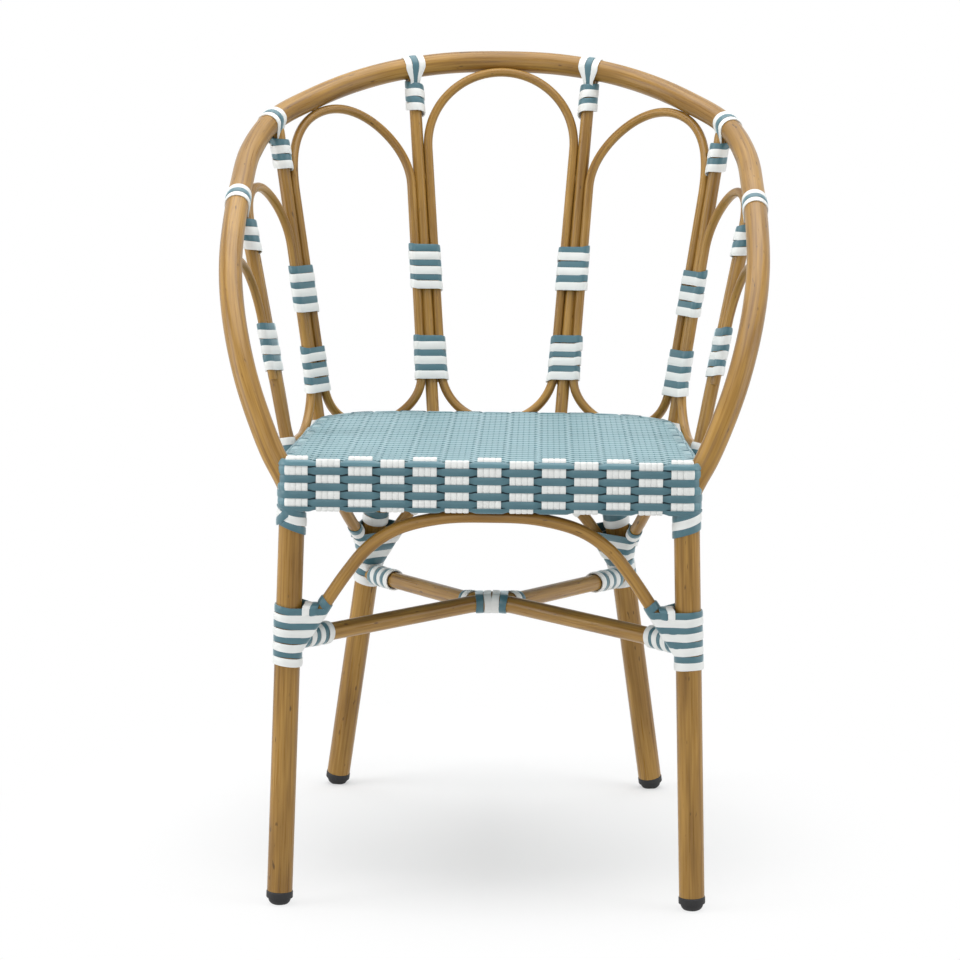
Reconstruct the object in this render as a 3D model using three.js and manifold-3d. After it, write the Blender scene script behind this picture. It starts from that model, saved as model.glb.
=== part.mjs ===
// A bistro armchair of bent tube: hoop, posts and thin loops above a woven seat, four splayed legs,
// arches and crossed stretchers below it, and strap bindings where the tubes meet.
// Millimetres. X runs to the right as seen from the front, Y runs to the back, Z is up.
// Places are worked out with Y counted from the front feet, and the whole chair is then moved so
// that its origin lies on the floor under the middle of its box.
import * as THREE from "three";
import { mergeVertices } from "three/addons/utils/BufferGeometryUtils.js";
import Module from "manifold-3d";

const wasm = await Module();
wasm.setup();

// Driving dimensions
const air = 0.3; // left between pieces that touch
const overrun = 40; // how far a cutting block reaches past what it cuts
const floorSpan = 900; // side of the cutting blocks for the floor and the seat underside

// Seat
const seatHeight = 455; // top of the front edge
const seatThickness = 50;
const seatDepth = 439;
const seatFront = -13; // front face, in front of the front feet
const seatFall = 13; // how much lower the back edge lies
const cornerRadius = 16.5; // front corners, round the leg tops
const cornerHalfSpan = 194;
const rearCornerRadius = 98;
const rearCornerHalfSpan = 99;
const strapThickness = 3; // the woven skin
const outlineStep = 18; // of the outline's bends
const edgeRadius = 9; // of the skin where it folds over the rim
const rimRadius = 8;
const frontCrossBarShare = 0.342; // where a cross bar lies, of the seat's depth
const rearCrossBarShare = 0.684;

// Legs, their caps and what joins them
const legRadius = 13;
const legWall = 2;
const frontFootHalfSpan = 207.5;
const rearFootHalfSpan = 180.5;
const rearFootDepth = 480;
const rearLegTopHalfSpan = 124;
const legTopBelowSeat = 34; // of the front legs, under the top of the seat's front edge
const mitreSlope = 0.88; // of the joint between a front leg and the hoop
const capHeight = 14;
const capRadius = 13.4;
const capFootRadius = 9.5;
const capRimHeight = 7;
const plugLength = 20;
const plugFit = 0.4;
const stretcherRadius = 9;
const stretcherHeight = 271;
const rearStretcherDrop = 16;
const stretcherCrossing = 205; // depth where the two stretchers meet
const stretcherBend = 34;
const archRadius = 6.5;
const archSpring = 252; // height where an arch leaves the leg's middle line

// Hoop: half width, depth and top of its middle line
const hoopRadius = 12;
const hoopWall = 1.8;
const hoopHalfWidth = 270;
const hoopDepth = 572;
const hoopTop = 821;

// Back posts: half span and depth at the height of the seat, and where each one meets the hoop's
// middle line, as shares of the hoop's half width, depth and top
const postRadius = 7;
const postWall = 1.5;
const postLevel = 439;
const centrePost = { halfSpan: 71.5, depth: 440, hoopShares: [0.37257, 0.97921, 0.98904] };
const sidePost = { halfSpan: 195, depth: 376, hoopShares: [0.89889, 0.7185, 0.92205] };
const outerPost = { halfSpan: 215, depth: 200, hoopShares: [0.98276, 0.42119, 0.83678] };

// Thin loops and half arches
const loopRadius = 4.5;
const loopSeam = 0.8; // where the two ends of a loop's tube face each other
const centreLoopLow = 486; // height of the middle of a loop's lower bend
const sideLoopLow = 484;
const outerLoopLow = 487;
const loopBend = 60; // radius of a loop's lower bends, at most
const sideLoopBow = 21; // how far a loop bows out between its posts, round the seat's corner
const outerLoopBow = 8;
const outerLoopClearance = 6; // under the hoop; the other loops touch it
const halfArchBend = 72;
const halfArchTop = 634;
const halfArchFoot = 508;
const halfArchOutward = 0.12;

// Strap bindings
const strap = 1.4; // thickness of a binding strap
const strapGap = 0.6; // between neighbouring turns
const strapClear = 0.5; // between a binding and its tubes
const bundlePitch = 8.3;
const bundleTurns = 6;
const centreUpperBinding = 594; // heights of the middles of the bindings on the posts
const centreLowerBinding = 496;
const sideUpperBinding = 579;
const sideLowerBinding = 492;
const outerBinding = 537;
const hoopBandWidth = 23;
const neckPitch = 7.9;
const centreNeckTurns = 4;
const sideNeckTurns = 3.5;
const outerNeckTurns = 3;
const ringSides = 8;
const legPitch = 7.8;
const legTurns = 8;
const legBindingTop = 309;
const rearLegTurns = 8.6;
const rearLegBindingTop = 312;
const legTopPitch = 8.6;
const legTopTurns = 1.75;
const legTopBindingBelow = 17.5; // under the top of the leg
const collarLength = 24;
const centreBindingPitch = 7.5;
const centreBindingTurns = 4.5;

// Finishes
const caneFinish = { color: 0xb08a58, roughness: 0.42, metalness: 0.1 };
const bluePlastic = { color: 0x6f97a6, roughness: 0.5, metalness: 0 };
const whitePlastic = { color: 0xf0efeb, roughness: 0.5, metalness: 0 };
const blackRubber = { color: 0x1b1b1d, roughness: 0.7, metalness: 0 };
const frameFinish = { color: 0x9a7a50, roughness: 0.5, metalness: 0.2 };

// Values worked out from the driving dimensions
const seatTilt = Math.atan2(seatFall, seatDepth);
const seatUnderside = seatHeight - seatThickness;
const frontCornerDepth = seatFront + cornerRadius;
const rimInset = strapThickness + 2 * air + rimRadius;
const upperRimLevel = seatThickness - rimInset;
const lowerRimLevel = rimRadius;
const frontLegTop = seatHeight - legTopBelowSeat;
const boreSides = 14;
const boreRadius = legRadius - legWall;
const plugRadius = boreRadius * Math.cos(Math.PI / boreSides) - plugFit;

const chair = new THREE.Group();
const seatGroup = new THREE.Group();
seatGroup.position.set(0, seatFront, seatUnderside);
seatGroup.rotation.x = -seatTilt;
seatGroup.updateMatrixWorld(true);
const seatMatrix = seatGroup.matrixWorld.clone();
const seatInverse = seatMatrix.clone().invert();

// A curve drawn flat, as a path of lines and arcs, and then put into space by a function.
class PlacedCurve extends THREE.Curve {
  constructor(path, placing) {
    super();
    this.path = path;
    this.placing = placing;
  }

  getPoint(share) {
    return this.placing(this.path.getPoint(share));
  }
}

function polygon(radius, sides) {
  const corners = [];
  for (let i = 0; i < sides; i += 1) {
    const angle = (2 * Math.PI * (i + 0.5)) / sides;
    corners.push(new THREE.Vector2(radius * Math.cos(angle), radius * Math.sin(angle)));
  }
  return corners;
}

function tubeGeometry(curve, radius, sides, steps, bore = 0) {
  const section = new THREE.Shape(polygon(radius, sides));
  const holeSides = steps === 1 ? sides : Math.round(sides / 2);
  if (bore > 0) section.holes.push(new THREE.Path(polygon(bore, holeSides)));
  return new THREE.ExtrudeGeometry(section, { extrudePath: curve, steps, bevelEnabled: false });
}

// A closed mesh as a solid. A mesh that was mirrored is turned the right way out first.
function solidOf(geometry) {
  const bare = geometry.clone();
  bare.deleteAttribute("normal");
  bare.deleteAttribute("uv");
  const merged = mergeVertices(bare, air / 100);
  const corners = Uint32Array.from(merged.index.array);
  const build = () =>
    new wasm.Manifold(
      new wasm.Mesh({
        numProp: 3,
        vertProperties: merged.attributes.position.array,
        triVerts: corners,
      }),
    );
  const solid = build();
  if (solid.volume() > 0) return solid;
  for (let i = 0; i < corners.length; i += 3) {
    const kept = corners[i + 1];
    corners[i + 1] = corners[i + 2];
    corners[i + 2] = kept;
  }
  return build();
}

function geometryOf(solid) {
  const mesh = solid.simplify(air / 20).getMesh();
  const places = new Float32Array(mesh.numVert * 3);
  for (let i = 0; i < mesh.numVert; i += 1) {
    const start = i * mesh.numProp;
    places.set(mesh.vertProperties.subarray(start, start + 3), i * 3);
  }
  const geometry = new THREE.BufferGeometry();
  geometry.setAttribute("position", new THREE.BufferAttribute(places, 3));
  geometry.setIndex(new THREE.BufferAttribute(mesh.triVerts, 1));
  return geometry;
}

function mirrored(solid) {
  const flipped = geometryOf(solid).applyMatrix4(new THREE.Matrix4().makeScale(-1, 1, 1));
  return solidOf(flipped);
}

// Adds a solid as a mesh that sits at the middle of its own box.
function place(name, solid, finish, group = chair) {
  const geometry = geometryOf(solid);
  geometry.applyMatrix4(group.matrixWorld.clone().invert());
  geometry.computeBoundingBox();
  const middle = geometry.boundingBox.getCenter(new THREE.Vector3());
  geometry.translate(-middle.x, -middle.y, -middle.z);
  geometry.computeVertexNormals();
  const mesh = new THREE.Mesh(geometry, new THREE.MeshStandardMaterial(finish));
  mesh.name = name;
  mesh.position.copy(middle);
  group.add(mesh);
}

function placePair(name, solid, finish) {
  place(name + "_right", solid, finish);
  place(name + "_left", mirrored(solid), finish);
}

function without(solid, cutters) {
  return cutters.reduce((left, cutter) => left.subtract(cutter), solid);
}

// A member is a tube that can be made again a little fatter, to cut its seat in a neighbour.
function member(curve, radius, sides, steps, bore = 0) {
  const tube = (extra) => solidOf(tubeGeometry(curve, radius + extra, sides, steps));
  return {
    curve,
    radius,
    points: curve.getSpacedPoints(steps),
    solid: solidOf(tubeGeometry(curve, radius, sides, steps, bore)),
    seat: tube(air / Math.cos(Math.PI / sides)),
  };
}

function block(width, depth, height, matrix) {
  return solidOf(new THREE.BoxGeometry(width, depth, height).applyMatrix4(matrix));
}

// Everything under the seat's underside plane, lowered or raised by a distance.
function underSeat(shift) {
  const down = new THREE.Matrix4().makeTranslation(0, seatDepth / 2, shift - floorSpan / 2);
  return block(floorSpan, floorSpan, floorSpan, seatMatrix.clone().multiply(down));
}

function overSeat(shift) {
  const up = new THREE.Matrix4().makeTranslation(0, seatDepth / 2, shift + floorSpan / 2);
  return block(floorSpan, floorSpan, floorSpan, seatMatrix.clone().multiply(up));
}

const underFloor = block(
  floorSpan * 2,
  floorSpan * 2,
  overrun * 2,
  new THREE.Matrix4().makeTranslation(0, 0, -overrun),
);

const point = (x, y, z) => new THREE.Vector3(x, y, z);
const alongLine = (from, to, z) => from.clone().lerp(to, (z - from.z) / (to.z - from.z));

// Seat outline
// The side is the line that touches the front corner's arc and the rear corner's arc.
const cornersApart = point(
  cornerHalfSpan - rearCornerHalfSpan,
  cornerRadius - (seatDepth - rearCornerRadius),
  0,
);
const sideAngle =
  Math.acos((rearCornerRadius - cornerRadius) / cornersApart.length()) +
  Math.atan2(cornersApart.y, cornersApart.x);

// The outline's right half, from the front to the back, set in by a distance. Seat frame.
function seatSide(path, inset) {
  const rearMiddle = seatDepth - rearCornerRadius;
  path.absarc(cornerHalfSpan, cornerRadius, cornerRadius - inset, -Math.PI / 2, sideAngle);
  path.absarc(rearCornerHalfSpan, rearMiddle, rearCornerRadius - inset, sideAngle, Math.PI / 2);
}

function seatOutline(inset) {
  const right = new THREE.Path();
  seatSide(right, inset);
  const half = [];
  for (const curve of right.curves) {
    const steps = curve.isLineCurve ? 1 : Math.ceil(curve.getLength() / outlineStep) + 2;
    for (const corner of curve.getPoints(steps)) {
      const last = half[half.length - 1];
      if (!last || last.distanceTo(corner) > air) half.push(corner);
    }
  }
  const left = half.map((corner) => new THREE.Vector2(-corner.x, corner.y)).reverse();
  return new THREE.Shape(half.concat(left));
}

// The depth of a rim's middle line at a half span, in the seat frame.
function rimDepthAt(halfSpan) {
  const across = Math.max(0, halfSpan - rearCornerHalfSpan);
  const arc = rearCornerRadius - rimInset;
  return seatDepth - rearCornerRadius + Math.sqrt(arc * arc - across * across);
}

// How far a rim's middle line lies from the middle at a depth, in the seat frame.
function rimHalfSpanAt(depth) {
  const arc = rearCornerRadius - rimInset;
  const past = depth - (seatDepth - rearCornerRadius);
  if (past > arc * Math.sin(sideAngle)) return rearCornerHalfSpan + Math.sqrt(arc * arc - past * past);
  return rearCornerHalfSpan + arc / Math.cos(sideAngle) - past * Math.tan(sideAngle);
}

// Legs
const frontFoot = point(frontFootHalfSpan, 0, 0);
const frontCorner = point(cornerHalfSpan, frontCornerDepth, frontLegTop);
const rearFoot = point(rearFootHalfSpan, rearFootDepth, 0);
const rearTop = point(rearLegTopHalfSpan, rimDepthAt(rearLegTopHalfSpan), 0).applyMatrix4(seatMatrix);

function legMember(foot, top, beyond) {
  const axis = top.clone().sub(foot).normalize();
  const low = foot.clone().addScaledVector(axis, capHeight + air);
  const high = top.clone().addScaledVector(axis, beyond);
  return member(new THREE.LineCurve3(low, high), legRadius, 14, 1, boreRadius);
}

// The cap's body under the leg, with its plug up inside the leg's bore.
function footCap(foot, top) {
  const profile = [
    [0, -overrun / 4],
    [capFootRadius, -overrun / 4],
    [capFootRadius, capRimHeight / 3],
    [capRadius, capRimHeight],
    [capRadius, capHeight],
    [plugRadius, capHeight],
    [plugRadius, capHeight + plugLength],
    [0, capHeight + plugLength],
  ].map(([radius, along]) => new THREE.Vector2(radius, along));
  const cap = new THREE.LatheGeometry(profile, 12);
  const axis = top.clone().sub(foot).normalize();
  const turn = new THREE.Quaternion().setFromUnitVectors(point(0, 1, 0), axis);
  cap.applyMatrix4(new THREE.Matrix4().compose(foot, turn, point(1, 1, 1)));
  return solidOf(cap).subtract(underFloor);
}

// The hoop's middle line, as shares of its half width, depth and top
const hoopShares = [
  [0.716, 0.006, 0.509],
  [0.752, 0.012, 0.532],
  [0.793, 0.02, 0.556],
  [0.841, 0.037, 0.591],
  [0.896, 0.068, 0.637],
  [0.941, 0.113, 0.685],
  [0.975, 0.178, 0.731],
  [0.994, 0.252, 0.771],
  [1, 0.355, 0.814],
  [0.996, 0.474, 0.855],
  [0.982, 0.594, 0.892],
  [0.915, 0.724, 0.927],
  [0.776, 0.836, 0.952],
  [0.622, 0.913, 0.972],
  [0.452, 0.96, 0.987],
  [0.23, 0.991, 0.9975],
  [0, 1, 1],
];
const hoopHalf = hoopShares.map(([wide, deep, high]) =>
  point(wide * hoopHalfWidth, deep * hoopDepth, high * hoopTop),
);
const hoopOtherHalf = hoopHalf
  .slice(0, -1)
  .map((spot) => point(-spot.x, spot.y, spot.z))
  .reverse();
const hoopCurve = new THREE.CatmullRomCurve3(hoopHalf.concat(hoopOtherHalf), false, "centripetal");
const hoopSteps = 38;
const hoop = member(hoopCurve, hoopRadius, 8, hoopSteps, hoopRadius - hoopWall);

// The mitre between a front leg and the hoop: all that lies under it, on the right.
function underMitre(shift) {
  const turn = new THREE.Matrix4().makeRotationY(-Math.atan(mitreSlope));
  const down = new THREE.Matrix4().makeTranslation(0, 0, shift - overrun);
  const there = new THREE.Matrix4().makeTranslation(cornerHalfSpan, frontCornerDepth, frontLegTop);
  return block(overrun * 4, overrun * 2, overrun * 2, there.multiply(turn).multiply(down));
}

function overMitre(shift) {
  const turn = new THREE.Matrix4().makeRotationY(-Math.atan(mitreSlope));
  const up = new THREE.Matrix4().makeTranslation(0, 0, shift + overrun);
  const there = new THREE.Matrix4().makeTranslation(cornerHalfSpan, frontCornerDepth, frontLegTop);
  return block(overrun * 4, overrun * 2, overrun * 2, there.multiply(turn).multiply(up));
}

const hoopEndCut = underMitre(0);
const hoopSolid = without(hoop.solid, [hoopEndCut, mirrored(hoopEndCut)]);

const frontLeg = legMember(frontFoot, frontCorner, overrun);
const rearLeg = legMember(rearFoot, rearTop, overrun);
const frontLegSolid = frontLeg.solid.subtract(overMitre(-air));
const rearLegSolid = rearLeg.solid.subtract(overSeat(-air));
placePair("front_leg", frontLegSolid, caneFinish);
placePair("rear_leg", rearLegSolid, caneFinish);
placePair("front_foot_cap", footCap(frontFoot, frontCorner), blackRubber);
placePair("rear_foot_cap", footCap(rearFoot, rearTop), blackRubber);
place("back_hoop", hoopSolid, caneFinish);

// Back posts
function postAt(post, z) {
  const [wide, deep, high] = post.hoopShares;
  const rise = (z - postLevel) / (high * hoopTop - postLevel);
  const across = post.halfSpan + (wide * hoopHalfWidth - post.halfSpan) * rise;
  const depth = post.depth + (deep * hoopDepth - post.depth) * rise;
  return point(across, depth, z);
}

const hoopSpots = hoopCurve.getSpacedPoints(400);

function nearestSpot(spot) {
  let best = 0;
  hoopSpots.forEach((other, i) => {
    if (other.distanceToSquared(spot) < hoopSpots[best].distanceToSquared(spot)) best = i;
  });
  return best;
}

const hoopDistance = (spot) => hoopSpots[nearestSpot(spot)].distanceTo(spot);

// The height at which a post's middle line comes nearest to the hoop's.
function postTop(post) {
  let best = hoopTop;
  for (let z = hoopTop; z > postLevel; z -= hoopRadius / 4) {
    if (hoopDistance(postAt(post, z)) < hoopDistance(postAt(post, best))) best = z;
  }
  return best;
}

function postMember(post) {
  const low = postAt(post, seatUnderside - overrun);
  const line = new THREE.LineCurve3(low, postAt(post, postTop(post)));
  return member(line, postRadius, 9, 1, postRadius - postWall);
}

const posts = { centre: postMember(centrePost), side: postMember(sidePost), outer: postMember(outerPost) };

// Thin loops: a belt round two circles, between two posts, drawn flat as width and height
const besidePost = postRadius + air + loopRadius;

// The frame of a loop between two posts: where its middle line runs and how wide the posts stand.
function loopFrame(postA, postB, mirrorA, bow) {
  const ends = (z) => {
    const a = postAt(postA, z);
    if (mirrorA) a.x = -a.x;
    return [a, postAt(postB, z)];
  };
  const halfAt = (z) => {
    const [a, b] = ends(z);
    return b.distanceTo(a) / 2;
  };
  const [lowA, lowB] = ends(postLevel);
  const [highA, highB] = ends(hoopTop);
  const low = lowA.add(lowB).multiplyScalar(0.5);
  const high = highA.add(highB).multiplyScalar(0.5);
  const stretch = high.distanceTo(low) / (hoopTop - postLevel);
  const widening = (halfAt(hoopTop) - halfAt(postLevel)) / high.distanceTo(low);
  const halfWidth = halfAt(postLevel) - besidePost;
  const placing = (flat) => {
    const z = postLevel + flat.y / stretch;
    const [a, b] = ends(z);
    const across = b.clone().sub(a).normalize();
    const outward = point(-across.y, across.x, 0);
    const drawn = halfWidth + widening * flat.y;
    const share = flat.x / drawn;
    const middle = a.add(b).multiplyScalar(0.5);
    middle.addScaledVector(outward, bow * Math.max(0, 1 - Math.abs(share) ** 3));
    return middle.addScaledVector(across, share * (halfAt(z) - besidePost));
  };
  return { stretch, widening, halfWidth, placing };
}

function loopPath(frame, lowHeight, topHeight) {
  const lean = Math.atan(frame.widening);
  const radiusAt = (height) => (frame.halfWidth + frame.widening * height) * Math.cos(lean);
  const low = (lowHeight - postLevel) * frame.stretch;
  const top = (topHeight - postLevel) * frame.stretch;
  const high = (top - radiusAt(0)) / (1 + frame.widening * Math.cos(lean));
  const bend = Math.min(radiusAt(low), loopBend);
  const bendX = (radiusAt(low) - bend) / Math.cos(lean);
  const path = new THREE.Path();
  path.moveTo(loopSeam / 2, low - bend);
  path.lineTo(bendX + loopSeam, low - bend);
  path.absarc(bendX, low, bend, loopSeam / bend - Math.PI / 2, -lean);
  path.absarc(0, high, radiusAt(high), -lean, Math.PI + lean);
  path.absarc(-bendX, low, bend, Math.PI + lean, 1.5 * Math.PI - loopSeam / bend);
  path.lineTo(-loopSeam / 2, low - bend);
  return path;
}

function leastDistance(spots, others) {
  let least = Infinity;
  for (const spot of spots) {
    for (const other of others) least = Math.min(least, spot.distanceToSquared(other));
  }
  return Math.sqrt(least);
}

// Raises the loop's top until the loop touches the hoop.
function loopUnderHoop(frame, lowHeight, clearance = air) {
  const needed = hoopRadius + loopRadius + clearance;
  let under = lowHeight;
  let over = hoopTop;
  while (over - under > air / 10) {
    const tried = (under + over) / 2;
    const curve = new PlacedCurve(loopPath(frame, lowHeight, tried), frame.placing);
    if (leastDistance(curve.getSpacedPoints(90), hoopSpots) > needed) under = tried;
    else over = tried;
  }
  return member(new PlacedCurve(loopPath(frame, lowHeight, under), frame.placing), loopRadius, 6, 36);
}

const loops = {
  centre: loopUnderHoop(loopFrame(centrePost, centrePost, true, 0), centreLoopLow),
  side: loopUnderHoop(loopFrame(centrePost, sidePost, false, sideLoopBow), sideLoopLow),
  outer: loopUnderHoop(loopFrame(sidePost, outerPost, false, outerLoopBow), outerLoopLow, outerLoopClearance),
};
place("centre_back_loop", loops.centre.solid, caneFinish);
placePair("side_back_loop", loops.side.solid, caneFinish);
placePair("outer_back_loop", loops.outer.solid, caneFinish);

// Half arch: up beside the outermost post, then forward until it meets the hoop's arm
const armSpots = hoopSpots.filter((spot) => spot.x > 0);
const offLevel = (spot) => Math.abs(spot.z - halfArchTop);
const armSpot = armSpots.reduce((best, spot) => (offLevel(spot) < offLevel(best) ? spot : best));
const halfArchReach = postAt(outerPost, halfArchTop).y - armSpot.y - hoopRadius / 2;
const archBend = Math.min(halfArchBend, halfArchReach - besidePost);
const halfArchPath = new THREE.Path();
halfArchPath.moveTo(besidePost, halfArchFoot);
halfArchPath.lineTo(besidePost, halfArchTop - archBend);
halfArchPath.absarc(besidePost + archBend, halfArchTop - archBend, archBend, Math.PI, Math.PI / 2, true);
halfArchPath.lineTo(halfArchReach, halfArchTop);
const halfArchCurve = new PlacedCurve(halfArchPath, (flat) => {
  const spot = postAt(outerPost, flat.y);
  spot.x += flat.x * halfArchOutward;
  spot.y -= flat.x * Math.sqrt(1 - halfArchOutward * halfArchOutward);
  return spot;
});
const halfArch = member(halfArchCurve, loopRadius, 6, 12);
placePair("front_half_arch", halfArch.solid.subtract(hoop.seat), caneFinish);

// Seat frame: two rims, two front rails and two cross bars, all in the seat frame
const inSeat = (x, y, z) => point(x, y, z).applyMatrix4(seatMatrix);

function rimMember(level) {
  const path = new THREE.Path();
  const start = cornerRadius + legRadius + air;
  const right = new THREE.Path();
  seatSide(right, rimInset);
  const first = right.curves[right.curves.length - 1].getPoint(0);
  const slope = Math.tan(sideAngle);
  const frontX = first.x + (first.y - start) * slope;
  path.moveTo(frontX, start);
  path.lineTo(first.x, first.y);
  path.absarc(
    rearCornerHalfSpan,
    seatDepth - rearCornerRadius,
    rearCornerRadius - rimInset,
    sideAngle,
    Math.PI / 2,
  );
  path.absarc(
    -rearCornerHalfSpan,
    seatDepth - rearCornerRadius,
    rearCornerRadius - rimInset,
    Math.PI / 2,
    Math.PI - sideAngle,
  );
  path.lineTo(-frontX, start);
  return member(new PlacedCurve(path, (flat) => inSeat(flat.x, flat.y, level)), rimRadius, 8, 24);
}

function barMember(depth, level, halfLength) {
  const line = new THREE.LineCurve3(inSeat(-halfLength, depth, level), inSeat(halfLength, depth, level));
  return member(line, rimRadius, 8, 1);
}

const upperRim = rimMember(upperRimLevel);
const lowerRim = rimMember(lowerRimLevel);
const legSeats = [frontLeg.seat, mirrored(frontLeg.seat)];
const rearLegSeats = [rearLeg.seat, mirrored(rearLeg.seat)];
const upperRail = barMember(rimInset, upperRimLevel, cornerHalfSpan);
const lowerRail = barMember(rimInset, lowerRimLevel, cornerHalfSpan);
place("seat_upper_rim", upperRim.solid.subtract(hoop.seat), frameFinish, seatGroup);
place("seat_lower_rim", lowerRim.solid.subtract(hoop.seat), frameFinish, seatGroup);
place("seat_upper_front_rail", without(upperRail.solid, [hoop.seat, ...legSeats]), frameFinish, seatGroup);
place("seat_lower_front_rail", without(lowerRail.solid, [hoop.seat, ...legSeats]), frameFinish, seatGroup);

// A cross bar runs from one side of the upper rim to the other.
function crossBar(name, share) {
  const depth = seatDepth * share;
  const bar = barMember(depth, upperRimLevel, rimHalfSpanAt(depth) - rimRadius / 2);
  place(name, bar.solid.subtract(upperRim.seat), frameFinish, seatGroup);
}

crossBar("seat_front_cross_bar", frontCrossBarShare);
crossBar("seat_rear_cross_bar", rearCrossBarShare);

// Posts go in now, seated on the hoop above and on the lower rim below
const belowSeat = underSeat(0);
for (const [name, post] of Object.entries(posts)) {
  placePair(name + "_post", without(post.solid, [hoop.seat, belowSeat, lowerRim.seat]), caneFinish);
}

// Woven seat: a skin with a rounded edge over the frame, open below, notched for posts and hoop
function roundedBlock(inset, round, height) {
  const geometry = new THREE.ExtrudeGeometry(seatOutline(inset + round), {
    depth: height,
    bevelEnabled: true,
    bevelSize: round,
    bevelThickness: round,
    bevelSegments: 2,
    steps: 1,
  });
  geometry.translate(0, 0, -round);
  return solidOf(geometry.applyMatrix4(seatMatrix));
}

const skinOuter = roundedBlock(0, edgeRadius, seatThickness);
const skinInner = roundedBlock(
  strapThickness,
  edgeRadius - strapThickness,
  seatThickness - strapThickness,
);
const postSeats = Object.values(posts).flatMap((post) => [post.seat, mirrored(post.seat)]);
const wovenSeat = without(skinOuter, [skinInner, belowSeat, hoop.seat, ...legSeats, ...postSeats]);
place("woven_seat", wovenSeat, bluePlastic, seatGroup);

// Stretchers: each one tube, bent in the middle, from leg to leg
function stretcherMember(foot, top, height, towards) {
  const end = alongLine(foot, top, height);
  const apex = stretcherCrossing + towards * (stretcherRadius + air / 2);
  const bendMiddle = apex + towards * stretcherBend;
  const away = (end.y - bendMiddle) * towards;
  const reach = Math.hypot(end.x, away);
  const angle = Math.acos(stretcherBend / reach) - Math.atan2(away, end.x);
  const path = new THREE.Path();
  path.moveTo(end.x, -away);
  path.lineTo(stretcherBend * Math.cos(angle), stretcherBend * Math.sin(angle));
  path.absarc(0, 0, stretcherBend, angle, Math.PI - angle);
  path.lineTo(-end.x, -away);
  const placing = (flat) => {
    const share = Math.abs(flat.x) / end.x;
    return point(flat.x, bendMiddle - towards * flat.y, stretcherHeight + share * (height - stretcherHeight));
  };
  return member(new PlacedCurve(path, placing), stretcherRadius, 9, 45);
}

const frontStretcher = stretcherMember(frontFoot, frontCorner, stretcherHeight, -1);
const rearStretcher = stretcherMember(rearFoot, rearTop, stretcherHeight - rearStretcherDrop, 1);
place("front_stretcher", without(frontStretcher.solid, legSeats), caneFinish);
place("rear_stretcher", without(rearStretcher.solid, rearLegSeats), caneFinish);

// Arches under the seat, from leg to leg: the share of the way along, of the rise, and of the
// way out from the straight line between the legs to the spot above the arch's top
const frontArchShares = [
  [0, 0, 0],
  [0.095, 0.39, 0.39],
  [0.15, 0.61, 0.61],
  [0.2, 0.775, 0.775],
  [0.27, 0.905, 0.905],
  [0.38, 0.985, 0.985],
];
const rearArchShares = [
  [0, 0, 0],
  [0.075, 0.27, 0.27],
  [0.14, 0.49, 0.49],
  [0.19, 0.62, 0.62],
  [0.25, 0.76, 0.76],
  [0.36, 0.93, 0.93],
];
const sideArchShares = [
  [0, 0, 0],
  [0.074, 0.315, 0],
  [0.17, 0.585, 0.4],
  [0.25, 0.8, 0.75],
  [0.36, 0.95, 0.95],
];

function archMember(endA, endB, top, shares) {
  const span = endB.clone().sub(endA);
  const rise = top.clone().sub(endA.clone().add(endB).multiplyScalar(0.5));
  const spotAt = ([along, up, out]) => {
    const spot = endA.clone().addScaledVector(span, along);
    spot.z += rise.z * up;
    spot.x += rise.x * out;
    spot.y += rise.y * out;
    return spot;
  };
  const back = shares.map(([along, up, out]) => [1 - along, up, out]).reverse();
  const spots = [...shares, [0.5, 1, 1], ...back].map(spotAt);
  const curve = new THREE.CatmullRomCurve3(spots, false, "centripetal");
  return member(curve, archRadius, 6, 20);
}

const archLevel = -air - archRadius;
const frontSpring = alongLine(frontFoot, frontCorner, archSpring);
const rearSpring = alongLine(rearFoot, rearTop, archSpring);
const toLeft = (spot) => point(-spot.x, spot.y, spot.z);
const sideArchDepth = seatDepth / 2;
const sideRimX = rimHalfSpanAt(sideArchDepth);
const frontArchTop = inSeat(0, cornerRadius, archLevel);
const rearArchTop = inSeat(0, seatDepth - rimInset, archLevel);
const sideArchTop = inSeat(sideRimX, sideArchDepth, archLevel);
const frontArch = archMember(toLeft(frontSpring), frontSpring, frontArchTop, frontArchShares);
const rearArch = archMember(toLeft(rearSpring), rearSpring, rearArchTop, rearArchShares);
const sideArch = archMember(frontSpring, rearSpring, sideArchTop, sideArchShares);
place("front_arch", without(frontArch.solid, [...legSeats, frontStretcher.seat]), caneFinish);
place("rear_arch", without(rearArch.solid, [...rearLegSeats, rearStretcher.seat]), caneFinish);
const sideArchEnds = [frontLeg.seat, rearLeg.seat, frontStretcher.seat, rearStretcher.seat];
const sideArchSolid = without(sideArch.solid, [...sideArchEnds, frontArch.seat, rearArch.seat]);
placePair("side_arch", sideArchSolid, caneFinish);

// Bindings: one unbroken flat strap wound round whatever tubes pass through it
let leastTurnGap = Infinity;

// Where the tubes cross a plane square to the binding's axis. A tube that leans leaves an oval.
function circlesAt(tubes, origin, axis, across, over, height) {
  const circles = [];
  for (const tube of tubes) {
    let nearest = null;
    for (let i = 1; i < tube.points.length; i += 1) {
      const before = tube.points[i - 1].clone().sub(origin);
      const after = tube.points[i].clone().sub(origin);
      const from = before.dot(axis) - height;
      const to = after.dot(axis) - height;
      if (from * to > 0 || from === to) continue;
      const spot = before.clone().lerp(after, from / (from - to));
      const circle = { x: spot.dot(across), y: spot.dot(over), radius: tube.radius };
      const run = after.sub(before);
      circle.leanX = run.dot(across) / run.dot(axis);
      circle.leanY = run.dot(over) / run.dot(axis);
      circle.far = Math.hypot(circle.x, circle.y);
      if (!nearest || circle.far < nearest.far) nearest = circle;
    }
    if (nearest && nearest.far < overrun * 1.5) circles.push(nearest);
  }
  return circles;
}

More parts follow.
